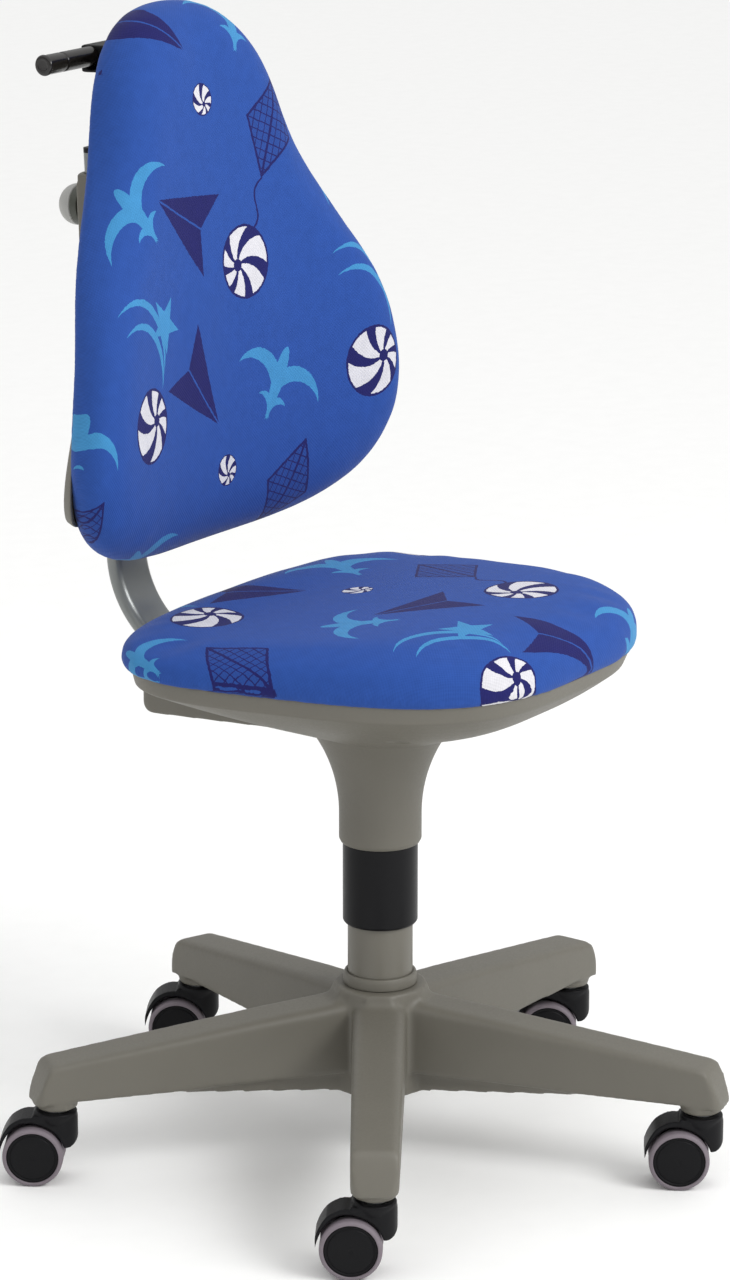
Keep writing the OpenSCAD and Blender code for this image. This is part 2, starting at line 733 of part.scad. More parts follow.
// Solid flat-oval bar along its centre line: level, bend and upright, slimmer by a wall all round
module bar_path(wall, extra) {
    w = bar_w - 2 * wall;
    t = bar_t - 2 * wall;
    turn = 90 - bar_lean;
    steps = 14;
    start_y = bar_front - extra;
    end_y = upright_y + (bar_upright + extra) * sin(bar_lean);
    end_z = upright_z + (bar_upright + extra) * cos(bar_lean);
    bend = [for (i = [0:steps]) let (a = turn * i / steps)
        bar_ring(bend_y + bar_bend_r * sin(a), bend_z - bar_bend_r * cos(a), a, w, t)];
    loft(concat([bar_ring(start_y, bar_z, 0, w, t)], bend, [bar_ring(end_y, end_z, turn, w, t)]),
        [0, start_y, bar_z], [0, end_y, end_z]);
}

module back_bar() {
    color("#7f8282") difference() {
        bar_path(0, 0);
        bar_path(bar_wall, 1);
    }
}

module bar_cap() {
    color("#333435") on_upright(bar_upright) {
        linear_extrude(4) oval(bar_w, bar_t);
        translate([0, 0, -12]) linear_extrude(12)
            oval(bar_w - 2 * (bar_wall + slide_fit), bar_t - 2 * (bar_wall + slide_fit));
    }
}

module depth_screw() {
    color("#a4a6a8") translate([0, depth_knob_y, bar_z]) across(bar_w / 2 + slide_fit, depth_knob_x + 11, depth_screw_r);
}

// Lobed hand knob, turned along X
module depth_knob() {
    knob_x = depth_knob_x;
    lobes = 6;
    color("#2c2d2f") translate([0, depth_knob_y, bar_z]) difference() {
        union() {
            across(knob_x, knob_x + 6, depth_knob_d / 2 - 4);
            across(knob_x + 4, knob_x + 18, depth_knob_d / 2 - 2);
            for (i = [0:lobes - 1]) rotate([360 * i / lobes, 0, 0]) translate([0, 0, depth_knob_d / 2 - 4])
                across(knob_x + 5, knob_x + 17, 4);
        }
        across(knob_x - 1, knob_x + 11, depth_screw_r + seat_fit);
    }
}

// Tray behind the cushion: a rim round the board and a floor behind it
module back_shell() {
    rim_w = -skin_gap;
    floor_w = shell_back + shell_t;
    rings = concat([for (i = [120, 80, 40]) back_ring(i, shell_back)],
        [back_ring(26, shell_back), back_ring(17, shell_back + 2.5), back_ring(6, rim_w), back_ring(10, rim_w),
        back_ring(21, floor_w)], [for (i = [40, 80, 120]) back_ring(i, floor_w)]);
    color("#77756e") difference() {
        loft(rings, back_point(0, back_h / 2, shell_back), back_point(0, back_h / 2, floor_w));
        mount_holes();
    }
}

module back_board() {
    front_w = -skin_gap;
    rear_w = front_w - backboard_t;
    rings = concat([for (i = [120, 80, 40, 24]) back_ring(i, rear_w)],
        [for (i = [13, 40, 80, 120]) back_ring(i, front_w)]);
    color("#c3a173") difference() {
        loft(rings, back_point(0, back_h / 2, rear_w), back_point(0, back_h / 2, front_w));
        mount_holes();
    }
}

module back_cushion() {
    profile = [[4, 0], [1, 0.1], [0, 0.32], [2, 0.52], [9, 0.72], [22, 0.87], [45, 0.95], [85, 0.99], [120, 1]];
    rings = concat([for (i = [120, 80, 40]) back_ring(i, 0)], [for (q = profile) back_ring(q[0], q[1] * back_t)]);
    color("#3159ad") loft(rings, back_point(0, back_h / 2, 0), back_point(0, back_h / 2, back_t));
}

// Screws of the housing, longer where the housing stands further off the shell
module mount_shanks(r, past) {
    for (q = MOUNT_SCREWS) on_upright(q[1]) translate([q[0], mount_rear + past, 0]) rotate([90, 0, 0])
        cylinder(r = r, h = q[2] + past + (r - mount_screw_r));
}

module mount_holes() {
    mount_shanks(mount_screw_r + run_fit, 1);
}

// Box from behind the bar towards the cushion
module block(half_w, low, high, rear, corner = 10) {
    deep = 90;
    on_upright(0) translate([0, rear - deep / 2, (low + high) / 2]) rotate([90, 0, 0])
        linear_extrude(deep, center = true) rounded(2 * half_w, high - low, corner);
}

// Everything in front of the shell's rear face, with the same facets as that face
module shell_space() {
    rear = shell_back - slide_fit;
    front = back_t + 60;
    outside = -60;
    rings = concat([for (i = [120, 80, 40, 26, outside]) back_ring(i, rear)],
        [for (i = [outside, 40, 120]) back_ring(i, front)]);
    loft(rings, back_point(0, back_h / 2, rear), back_point(0, back_h / 2, front));
}

module back_housing() {
    rear = bar_t / 2 + sleeve_wall;
    color("#6d6b64") difference() {
        union() {
            block(bar_w / 2 + sleeve_wall, sleeve_low, sleeve_high, rear);
            block(mount_half_w, sleeve_low, sleeve_high, mount_rear);
            on_upright(knob_up) rotate([-90, 0, 0]) cylinder(r = knob_boss_r, h = rear + knob_boss_h);
        }
        shell_space();
        mount_holes();
        on_upright(0) {
            translate([0, 0, sleeve_low - 5]) linear_extrude(bar_upright)
                oval(bar_w + 2 * slide_fit, bar_t + 2 * slide_fit);
            translate([0, 0, knob_up]) rotate([-90, 0, 0])
                cylinder(r = clamp_r + run_fit, h = rear + knob_boss_h + 1);
        }
    }
}

module back_screws() {
    color("#8f9193") {
        mount_shanks(mount_screw_r, 0);
        for (q = MOUNT_SCREWS) on_upright(q[1]) translate([q[0], mount_rear, 0]) rotate([-90, 0, 0])
            cylinder(r = 2 * mount_screw_r, h = 2.5);
    }
}

module clamp_collar() {
    color("#40433a") on_upright(knob_up) translate([0, bar_t / 2 + sleeve_wall + knob_boss_h, 0])
        rotate([-90, 0, 0]) tube(knob_d / 2, clamp_r + run_fit, collar_ring_t);
}

module clamp_screw() {
    start = bar_t / 2 + slide_fit;
    color("#a4a6a8") on_upright(knob_up) translate([0, start, 0]) rotate([-90, 0, 0])
        cylinder(r = clamp_r, h = sleeve_wall + knob_boss_h + collar_ring_t + knob_bite);
}

module clamp_knob() {
    start = bar_t / 2 + sleeve_wall + knob_boss_h + collar_ring_t + slide_fit;
    dome_h = 18;
    dome_r = knob_d / 2;
    foot = 3;
    steps = [for (a = [0:10:90]) [dome_r * cos(a), foot + (dome_h - foot) * sin(a)]];
    color("#9a9a97") on_upright(knob_up) translate([0, start, 0]) rotate([-90, 0, 0]) difference() {
        rotate_extrude() polygon(concat([[0, 0], [dome_r, 0]], steps));
        translate([0, 0, -1]) cylinder(r = clamp_r + seat_fit, h = knob_bite + 1.5);
    }
}

module handle_bracket() {
    r = handle_d / 2;
    color("#2b2927") difference() {
        block(handle_block_half, handle_up - r - handle_wall, handle_up + r + handle_wall,
            handle_back + r + handle_wall, handle_wall / 2);
        shell_space();
        on_upright(handle_up) translate([0, handle_back, 0]) across(-handle_l, handle_l, r + seat_fit);
    }
}

module handle_bar() {
    half = handle_l / 2 - 3;
    color("#2a2725") on_upright(handle_up) translate([0, handle_back, 0]) across(-half, half, handle_d / 2);
}

module handle_caps() {
    half = handle_l / 2;
    color("#262422") on_upright(handle_up) translate([0, handle_back, 0]) for (s = [0, 180]) rotate([0, s, 0])
        across(half - 3, half, handle_d / 2 + 0.5);
}

// Side view of a castor hood: an arc over the wheel and a block round the stem
module hood_side() {
    front = boss_d / 2;
    low = wheel_r + 6.5;
    corner = 8;
    difference() {
        union() {
            translate([castor_trail - hood_rise, wheel_r + hood_rise]) intersection() {
                circle(hood_r);
                polygon([[hood_r + 1, 0], [hood_r + 1, hood_r + 1], [-hood_r - 1, hood_r + 1], [-hood_r - 1, 6]]);
            }
            translate([corner - front, low]) square([castor_trail + front - corner, hood_top - low - 3]);
            translate([-front, low + corner]) square([castor_trail + front, hood_top - low - corner - 3]);
            translate([3 - front, hood_top - 4]) square([castor_trail + front - 3, 4]);
            translate([corner - front, low + corner]) circle(corner);
            translate([3 - front, hood_top - 3]) circle(3);
        }
        translate([castor_trail, wheel_r]) circle(wheel_r + hood_gap);
    }
}

module castor_hood() {
    front = boss_d / 2;
    rear = castor_trail + hood_r;
    nose_r = hood_w / 2;
    color("#2a2a2c") difference() {
        union() {
            intersection() {
                rotate([90, 0, 0]) linear_extrude(hood_w, center = true) hood_side();
                linear_extrude(hood_top + 1) {
                    translate([nose_r - front, 0]) circle(nose_r);
                    translate([nose_r - front, -hood_w / 2]) square([rear, hood_w]);
                }
            }
            rotate([90, 0, 0]) linear_extrude(web_w, center = true) {
                translate([castor_trail, wheel_r]) circle(wheel_r - 4);
                translate([-front / 2, wheel_r + 12]) square([castor_trail + front / 2, wheel_r - 10]);
            }
        }
        translate([0, 0, stem_low]) cylinder(r = stem_d / 2 + run_fit, h = hood_top);
        translate([castor_trail, castor_w, wheel_r]) rotate([90, 0, 0])
            cylinder(r = axle_d / 2 + run_fit, h = 2 * castor_w);
    }
}

module castor_pins() {
    axle_half = wheel_in + wheel_w - 3;
    color("#b5b7b9") {
        translate([0, 0, stem_low]) cylinder(r = stem_d / 2, h = stem_top - stem_low);
        translate([0, 0, hood_top + slide_fit]) cylinder(r = stem_d / 2 + 3.5, h = collar_t);
        translate([castor_trail, axle_half, wheel_r]) rotate([90, 0, 0]) cylinder(r = axle_d / 2, h = 2 * axle_half);
    }
}

// Places a wheel part on both sides of the web, its inner face at zero and its outer face up
module both_wheels() {
    for (s = [0, 1]) translate([castor_trail, 0, wheel_r]) mirror([0, s, 0]) translate([0, wheel_in, 0])
        rotate([-90, 0, 0]) children();
}

module castor_wheels() {
    disc_r = wheel_r - tyre_t;
    color("#262628") both_wheels() difference() {
        union() {
            cylinder(r = disc_r, h = wheel_w - 1.5);
            translate([0, 0, wheel_w - 1.5]) cylinder(r1 = disc_r - 0.3, r2 = disc_r - 1.5, h = 1.5);
        }
        translate([0, 0, -1]) cylinder(r = axle_d / 2 + run_fit, h = wheel_w - 2 + slide_fit);
    }
}

module castor_tyres() {
    r_in = wheel_r - tyre_t + seat_fit;
    edge = 3;
    color("#857b82") both_wheels() rotate_extrude()
        polygon(concat([[r_in, 0]], [for (a = [-90:18:0]) [wheel_r - edge * (1 - cos(a)), edge * (1 + sin(a))]],
            [for (a = [0:18:90]) [wheel_r - edge * (1 - cos(a)), wheel_w - edge * (1 - sin(a))]], [[r_in, wheel_w]]));
}

base_star();
stem_sleeves();
collar_ring();
column_tube();
guide_bush();
thrust_bearing();
piston_rod();
piston();
buffer_ring();
rod_clip();
mid_tube();
gas_cylinder();
cylinder_seal();
release_button();
upper_cone();
mechanism_plate();
seat_pan();
seat_board();
seat_cushion();
seat_screws();
lever_pin();
release_lever();
lever_grip();
back_bar();
bar_cap();
depth_screw();
depth_knob();
back_shell();
back_board();
back_cushion();
back_housing();
back_screws();
clamp_collar();
clamp_screw();
clamp_knob();
handle_bracket();
handle_bar();
handle_caps();
for (n = CASTORS) {
    at_castor(n) castor_hood();
    at_castor(n) castor_pins();
    at_castor(n) castor_wheels();
    at_castor(n) castor_tyres();
}
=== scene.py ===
import json
import math

import bmesh
import bpy
from bpy.props import FloatProperty, FloatVectorProperty, IntProperty, PointerProperty
from mathutils import Matrix, Vector

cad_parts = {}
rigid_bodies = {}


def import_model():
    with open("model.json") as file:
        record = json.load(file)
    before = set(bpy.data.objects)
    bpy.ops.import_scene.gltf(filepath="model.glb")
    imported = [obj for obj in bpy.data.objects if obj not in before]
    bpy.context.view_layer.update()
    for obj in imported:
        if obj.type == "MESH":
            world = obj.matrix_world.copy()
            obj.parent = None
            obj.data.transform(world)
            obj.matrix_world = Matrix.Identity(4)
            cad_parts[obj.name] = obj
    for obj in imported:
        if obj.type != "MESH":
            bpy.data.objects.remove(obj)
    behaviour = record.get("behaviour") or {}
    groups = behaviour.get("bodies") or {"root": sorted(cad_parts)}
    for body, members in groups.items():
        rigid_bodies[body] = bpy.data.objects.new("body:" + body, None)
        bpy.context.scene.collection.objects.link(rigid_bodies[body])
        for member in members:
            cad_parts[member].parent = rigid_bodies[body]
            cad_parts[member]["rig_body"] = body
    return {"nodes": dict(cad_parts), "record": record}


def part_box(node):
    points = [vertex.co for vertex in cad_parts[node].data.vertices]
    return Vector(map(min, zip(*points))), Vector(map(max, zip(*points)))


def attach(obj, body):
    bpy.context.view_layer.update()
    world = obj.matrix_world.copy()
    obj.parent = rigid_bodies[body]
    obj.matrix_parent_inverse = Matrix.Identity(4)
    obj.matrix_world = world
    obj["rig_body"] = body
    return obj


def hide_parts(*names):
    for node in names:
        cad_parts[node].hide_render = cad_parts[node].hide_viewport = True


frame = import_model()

bl_info = {
    "name": "Growing chair",
    "version": (1, 0, 0),
    "blender": (4, 5, 0),
    "location": "3D View > Sidebar > Chair",
    "description": "Finishes, cushions and moulded forms of a child's swivel chair on its packed parts",
    "category": "Object",
}

MM = 0.001
NODES = frame["nodes"]
SLOTS = {row["node"]: row["material_slot"] for row in frame["record"]["subparts"]}
CASTORS = (1, 2, 3, 4, 5)
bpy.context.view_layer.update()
# Places that the chair's own drawing gives, in millimetres
RIM_Z = 428
BAND_Z = 414
BOARD_Z = 416
PAN_FLOOR_Z = 359
PAN_FLOOR_R = 62
PAN_FLOOR_SHIFT = 8
PAN_WALL = 3
FUNNEL_BULGE = 2
TROUGH = {"half": 42, "front": -20, "rear": 210, "low": 346, "rise": 13, "top": 405, "round": 8}
PAN_SCREWS = ((-95, -80), (95, -80), (-105, 75), (105, 75))
# Heights below and above the pan, between which its openings are cut
BELOW = 340
ABOVE = 440
# The pan's screw posts and recesses, its neck, and the places of its side openings
POST_Z = 350
RECESS_R = 8
RECESS_Z = 401
SCREW_R = 2.6
CONE_TOP_R = 58.4
SOCKET_R = 21
KNOB_Y = 150
LEVER_SLOT_Z = 380.3
CASTOR_HEADING = math.radians(122)
WHEEL_IN = 4.6
WHEEL_W = 15
DISC_R = 21
COLUMN_R = 26.5
MID_R = 30.5
CONE_R = 33.5
FLARE_R = 122
BAR = {"w": 45, "t": 14, "wall": 2, "bend": 82, "start": 54, "bend_y": 171, "z": 388.2, "length": 335}
UPRIGHT = Matrix.Translation((0, 252.888 * MM, 465.908 * MM)) @ Matrix.Rotation(math.radians(-3), 4, "X")
KNOB_UP = 289
HANDLE_UP = 413.5
HANDLE_RAISE = 2.3
HANDLE_BACK = -9
SLEEVE_HALF = 26.5
ARM_SLOPE = 11
CASTOR_TRAIL = 18
HOOD_TOP = 57.5
HOOD_LIP = 6
# Local bends of the backrest's wings in millimetres, and the place in metres where its wrap is measured
WING_MORE = 3.5
WING_LESS = 5
WING_OUT = 0.18
# How far a cover is drawn past its flat side, so that the trimmed edge stays crisp
SKIRT = 3
# Rounds of smoothing that take the simulation's creases out of a cover
CREASE_ROUNDS = 14
# Share of a cushion's depth by which its print runs on round the edge
EDGE_RUN = 0.6


def srgb(code):
    """Linear colour of an sRGB hex value."""
    parts = [int(code[i:i + 2], 16) / 255 for i in (1, 3, 5)]
    return tuple(p / 12.92 if p <= 0.04045 else ((p + 0.055) / 1.055) ** 2.4 for p in parts)


def shade_of(code, title, use):
    """Colour setting with a hex default."""
    return FloatVectorProperty(name=title, description=use, default=srgb(code), size=3, subtype="COLOR",
                               min=0, max=1)


def length(mm, title, use):
    """Length setting with a default in millimetres."""
    return FloatProperty(name=title, description=use, default=mm * MM, unit="LENGTH", precision=4, min=0)


def amount(value, title, use, **more):
    """Number setting without a length."""
    return FloatProperty(name=title, description=use, default=value, **more)


class ChairSeatSizes(bpy.types.PropertyGroup):
    """Form of the seat"""
    half_width: length(189, "Half width", "Half the width of the seat at its middle")
    half_depth: length(175, "Half depth", "Half the depth of the seat")
    shift: length(17, "Forward shift", "How far the seat's middle lies in front of the column")
    rim: length(RIM_Z, "Rim height", "Height of the cushion's lower edge over the floor")
    crown: length(28.5, "Crown", "Height of the cushion over its lower edge")
    front_lift: length(13, "Front lift", "How much higher the cushion stands at its front edge")
    rear_drop: length(3, "Rear drop", "How much lower the cushion stands between its middle and its rear")
    taper: amount(0.193, "Taper", "Share by which the seat widens to the rear")
    square: amount(3.3, "Squareness", "2 is an ellipse, more is squarer", min=2)


class ChairBackSizes(bpy.types.PropertyGroup):
    """Form of the backrest"""
    half_width: length(183, "Half width", "Half the width of the backrest at its middle")
    height: length(437.5, "Height", "Height of the backrest")
    thickness: length(54, "Thickness", "Thickness of the cushion")
    low: length(487.5, "Lower edge", "Height of the backrest's lower edge over the floor")
    rear: length(195, "Rear face", "Distance from the column to the cushion's rear face")
    bow: length(7, "Bow", "Forward bow between the upper and the lower edge")
    nod: length(4, "Nod", "How far the upper edge comes forward")
    wrap: length(38, "Wrap", "How far the wings come forward at 180 mm from the middle")
    lean: amount(math.radians(5), "Lean", "Lean from the vertical", subtype="ANGLE")
    taper: amount(0.39, "Taper", "Share by which the backrest narrows to its top")
    waist: amount(0.138, "Waist", "Share by which the sides are drawn in")
    square: amount(2.8, "Squareness", "2 is an ellipse, more is squarer", min=2)
    low_square: amount(3.1, "Lower squareness", "Squareness below the middle", min=2)


class ChairPadding(bpy.types.PropertyGroup):
    """How the cushions are stuffed"""
    slack: length(3, "Slack", "How much smaller the cover starts than the cushion")
    swell: length(2.5, "Swell", "The furthest that stuffing moves the cover out")
    mesh: length(5, "Mesh", "Size of the cover's mesh while it is stuffed")
    pressure: amount(4, "Pressure", "Pressure of the stuffing", min=0)
    steps: IntProperty(name="Steps", description="Frames that the stuffing takes", default=20, min=2,
                       max=60)


class ChairPrint(bpy.types.PropertyGroup):
    """Cloth and its print"""
    repeat: length(300, "Repeat", "Distance after which the print comes again")
    ball: length(30, "Ball", "Radius of a large ball of the print")
    small_ball: length(13, "Small ball", "Radius of a small ball of the print")
    # The real threads lie about 0.6 mm apart and are drawn coarser so that they show
    thread: length(1.5, "Thread pitch", "Distance between two threads")
    ground: shade_of("#284C98", "Ground", "Blue ground of the cloth")
    sky: shade_of("#3F87BB", "Light blue", "Light motifs of the print")
    navy: shade_of("#1D1E5C", "Navy", "Dark motifs of the print")
    white: shade_of("#D2D1D6", "White", "Balls of the print")


class ChairColours(bpy.types.PropertyGroup):
    """Colours of the plastic and metal parts"""
    taupe: shade_of("#67645B", "Moulded taupe", "Base, seat pan, upper cover and back shell")
    column: shade_of("#69665D", "Column paint", "Lower column tube")
    black: shade_of("#161618", "Moulded black", "Middle cover, castor hoods and grips")
    disc: shade_of("#131315", "Wheel disc", "Discs of the castor wheels")
    tyre: shade_of("#776E75", "Tyre", "Soft treads of the castor wheels")
    bar: shade_of("#7C7F7E", "Bar lacquer", "Bent bar of the backrest")
    handle: shade_of("#171413", "Handle", "Handle bar at the top of the backrest")
    knob: shade_of("#A6A6A3", "Knob", "Dome of the clamp knob")
    collar: shade_of("#3F4239", "Knob collar", "Ring under the clamp knob")


class ChairStudio(bpy.types.PropertyGroup):
    """Camera and light"""
    eye: FloatVectorProperty(name="Camera place", description="Where the camera stands", size=3,
                             default=(-3.07297, -2.0578, 1.4461), subtype="TRANSLATION")
    heading: FloatProperty(name="Heading", description="Turn of the view from +Y towards +X",
                           default=math.radians(56), subtype="ANGLE")
    tilt: amount(0.26826, "Tilt", "How far the camera looks down", subtype="ANGLE")
    lens: amount(134.74, "Lens", "Focal length on a 36 mm sensor", unit="CAMERA")
    sky: amount(1.25, "Overhead light", "Strength of the light from above", min=0)
    rim: amount(0.35, "Level light", "Strength of the light from the sides", min=0)
    key: amount(55, "Soft box", "Power of the soft box", min=0, unit="POWER")


SETTINGS = {
    "chair_seat": ChairSeatSizes, "chair_back": ChairBackSizes, "chair_padding": ChairPadding,
    "chair_print": ChairPrint, "chair_colours": ChairColours, "chair_studio": ChairStudio,
}


def add(tree, kind, *values, sockets=None, **settings):
    """Adds a node. Numbers, colours or other nodes feed its open sockets in order or by name."""
    node = tree.nodes.new("ShaderNode" + kind)
    for name, value in settings.items():
        setattr(node, name, value)
    open_sockets = [socket for socket in node.inputs if socket.enabled]
    feeds = [(open_sockets[i], value) for i, value in enumerate(values)]
    feeds += [(node.inputs[name], value) for name, value in (sockets or {}).items()]
    for socket, value in feeds:
        if isinstance(value, bpy.types.Node):
            value = next(out for out in value.outputs if out.enabled)
        if isinstance(value, bpy.types.NodeSocket):
            tree.links.new(value, socket)
        elif value is not None:
            socket.default_value = value
    return node


def calc(tree, operation, *values):
    """Adds a step of arithmetic."""
    return add(tree, "Math", *values, operation=operation)


def vector(tree, operation, *values, **more):
    """Adds a step of vector arithmetic."""
    return add(tree, "VectorMath", *values, operation=operation, **more)


def noise(tree, place, size, detail, **sockets):
    """Adds clouds of a size in millimetres."""
    return add(tree, "TexNoise", place, sockets={"Scale": 1 / (size * MM), "Detail": detail, **sockets})


def bumps(tree, height, strength, depth):
    """Adds relief of a depth in millimetres."""
    return add(tree, "Bump", sockets={"Height": height, "Strength": strength, "Distance": depth * MM})


def mix(tree, share, first, second):
    """Adds a mix of two colours."""
    return add(tree, "Mix", share, first, second, data_type="RGBA")


def shades(tree, share, colour, dark, light):
    """Adds a mix of two tones of a colour, given as shares of it."""
    return mix(tree, share, rgba(colour, dark), rgba(colour, light))


def start_finish(name):
    """New material with an empty node tree and its place on the object."""
    finish = bpy.data.materials.new(name)
    finish.use_nodes = True
    tree = finish.node_tree
    tree.nodes.clear()
    place = add(tree, "TexCoord").outputs["Object"]
    return finish, tree, place


def close_finish(tree, **sockets):
    """Adds the surface shader and its output."""
    named = {name.replace("_", " "): value for name, value in sockets.items()}
    shader = add(tree, "BsdfPrincipled", sockets=named)
    add(tree, "OutputMaterial", shader)


def rgba(colour, share=1.0):
    """Colour with its alpha, lighter or darker by a share."""
    return (*(min(1.0, part * share) for part in colour), 1.0)


def moulded_plastic(name, colour, roughness=0.42, grain=2.2, depth=0.05, clouds=0.07, shine=0.5):
    """Injection-moulded ABS or nylon: one colour with faint flow clouds, and the spark-eroded grain of the
    mould, which spreads the highlights into a soft satin. The real grain is near 0.3 mm, drawn coarser."""
    finish, tree, place = start_finish(name)
    flow = noise(tree, place, 55, 3.0, Roughness=0.55)
    tone = shades(tree, flow, colour, 1 - clouds, 1 + clouds)
    pits = noise(tree, place, grain, 4.0, Roughness=0.6)
    spread = add(tree, "MapRange", pits, 0.3, 0.7, roughness - 0.05, roughness + 0.06)
    relief = bumps(tree, pits, 0.35, depth)
    close_finish(tree, Base_Color=tone, Roughness=spread, Normal=relief, IOR=1.53, Specular_IOR_Level=shine)
    return finish


def powder_coat(name, colour):
    """Powder-coated steel tube: a satin skin with a fine orange peel, drawn at 3 mm so that it shows."""
    finish, tree, place = start_finish(name)
    peel = noise(tree, place, 3, 1.5)
    wear = noise(tree, place, 40, 4.0)
    tone = shades(tree, wear, colour, 0.94, 1.05)
    spread = add(tree, "MapRange", wear, 0.3, 0.7, 0.36, 0.46)
    relief = bumps(tree, peel, 0.2, 0.04)
    close_finish(tree, Base_Color=tone, Roughness=spread, Normal=relief, IOR=1.5)
    return finish


def silver_lacquer(name, colour):
    """Aluminium-flake lacquer over bent steel tube: half-metallic grey whose highlight follows the bend."""
    finish, tree, place = start_finish(name)
    flakes = noise(tree, place, 3, 2.0)
    tone = shades(tree, flakes, colour, 0.97, 1.03)
    peel = noise(tree, place, 9, 1.0)
    spread = add(tree, "MapRange", peel, 0.3, 0.7, 0.3, 0.38)
    relief = bumps(tree, peel, 0.08, 0.03)
    close_finish(tree, Base_Color=tone, Roughness=spread, Normal=relief, Metallic=0.55, Coat_Weight=0.3,
                 Coat_Roughness=0.15)
    return finish


def gloss_plastic(name, colour, roughness):
    """Polished injection-moulded plastic: a deep colour under a clear, slightly wavy reflection."""
    finish, tree, place = start_finish(name)
    waves = noise(tree, place, 12, 1.0)
    marks = noise(tree, place, 2, 5.0)
    tone = shades(tree, waves, colour, 0.9, 1.12)
    spread = add(tree, "MapRange", marks, 0.35, 0.7, roughness, roughness + 0.1)
    relief = bumps(tree, waves, 0.15, 0.08)
    close_finish(tree, Base_Color=tone, Roughness=spread, Normal=relief, IOR=1.55)
    return finish


def soft_rubber(name, colour, roughness=0.62):
    """Cast polyurethane or rubber: dull, with road dust that lightens it in specks."""
    finish, tree, place = start_finish(name)
    dust = noise(tree, place, 6, 6.0, Roughness=0.7)
    tone = shades(tree, dust, colour, 0.86, 1.14)
    film = noise(tree, place, 1.5, 3.0)
    spread = add(tree, "MapRange", dust, 0.3, 0.7, roughness - 0.06, roughness + 0.08)
    relief = bumps(tree, film, 0.25, 0.06)
    close_finish(tree, Base_Color=tone, Roughness=spread, Normal=relief, IOR=1.5)
    return finish


def plated_steel(name, colour, roughness=0.3, streak=(1.0, 1.0, 12.0)):
    """Turned or pressed steel under zinc or chrome: a metal with fine drawing streaks along its length."""
    finish, tree, place = start_finish(name)
    run = add(tree, "Mapping", place, sockets={"Scale": streak})
    lines = noise(tree, run, 9, 5.0, Roughness=0.65)
    tone = shades(tree, lines, colour, 0.85, 1.08)
    spread = add(tree, "MapRange", lines, 0.3, 0.7, roughness - 0.06, roughness + 0.1)
    relief = bumps(tree, lines, 0.12, 0.03)
    close_finish(tree, Base_Color=tone, Roughness=spread, Normal=relief, Metallic=1.0)
    return finish


def birch_plywood(name):
    """Sawn birch plywood: pale veneer with long grain, and darker glue lines between its 1.4 mm layers."""
    finish, tree, place = start_finish(name)
    axes = add(tree, "SeparateXYZ", place)
    grain_run = add(tree, "Mapping", place, sockets={"Scale": (1.0, 14.0, 14.0)})
    grain = noise(tree, grain_run, 70, 6.0, Distortion=0.4)
    veneer = mix(tree, grain, rgba(srgb("#B98F5C")), rgba(srgb("#E0C596")))
    layer = calc(tree, "PINGPONG", axes.outputs["Z"], 1.4 * MM)
    glue = calc(tree, "LESS_THAN", layer, 0.15 * MM)
    tone = mix(tree, glue, veneer, rgba(srgb("#7A5734")))
    relief = bumps(tree, grain, 0.3, 0.15)
    close_finish(tree, Base_Color=tone, Roughness=0.62, Normal=relief)
    return finish


def motif_place(tree, cloth, repeat, x, y, turn):
    """Coordinates of one motif on the cloth: moved to its place in the repeat, wrapped, and turned."""
    half = repeat / 2
    moved = vector(tree, "SUBTRACT", cloth, (x * MM, y * MM, 0))
    wrapped = vector(tree, "WRAP", moved, (half, half, half), (-half, -half, -half))
    turned = add(tree, "VectorRotate", wrapped, (0, 0, 0), rotation_type="Z_AXIS",
                 sockets={"Angle": math.radians(turn)})
    axes = add(tree, "SeparateXYZ", turned)
    return turned, axes.outputs["X"], axes.outputs["Y"]


def mirrored(tree, x, y):
    """Coordinates folded over the motif's middle, so that one drawing serves both of its sides."""
    side = calc(tree, "ABSOLUTE", x)
    return add(tree, "CombineXYZ", side, y)


def reach(tree, place, x, y):
    """Distance from a point of the motif."""
    return vector(tree, "DISTANCE", place, (x * MM, y * MM, 0))


def both(tree, first, second):
    """Where two masks cover."""
    return calc(tree, "MULTIPLY", first, second)


def either(tree, first, second):
    """Where one of two masks covers."""
    return calc(tree, "MAXIMUM", first, second)


def crescent(tree, place, outer, inner):
    """Sickle between a circle and a second one that bites into it, each given as x, y and radius."""
    inside = calc(tree, "LESS_THAN", reach(tree, place, *outer[:2]), outer[2] * MM)
    outside = calc(tree, "GREATER_THAN", reach(tree, place, *inner[:2]), inner[2] * MM)
    return both(tree, inside, outside)


def print_ball(tree, cloth, repeat, x, y, turn, radius):
    """Beach ball with curved navy panels that meet off its middle: its white disc and its ink."""
    place = motif_place(tree, cloth, repeat, x, y, turn)[0]
    far = vector(tree, "LENGTH", place)
    disc = calc(tree, "LESS_THAN", far, radius)
    pole = vector(tree, "SUBTRACT", place, (0.28 * radius, 0.2 * radius, 0))
    axes = add(tree, "SeparateXYZ", pole)
    away = vector(tree, "LENGTH", pole)
    angle = calc(tree, "ARCTAN2", axes.outputs["Y"], axes.outputs["X"])
    swirl = calc(tree, "MULTIPLY_ADD", away, 0.55 / radius, angle)
    sector = calc(tree, "MULTIPLY", swirl, 3 / math.pi)
    share = calc(tree, "FRACT", sector)
    panel = calc(tree, "GREATER_THAN", share, 0.6)
    hub = calc(tree, "LESS_THAN", away, 0.17 * radius)
    edge = calc(tree, "GREATER_THAN", far, 0.93 * radius)
    ink = either(tree, either(tree, panel, hub), edge)
    return disc, both(tree, ink, disc)


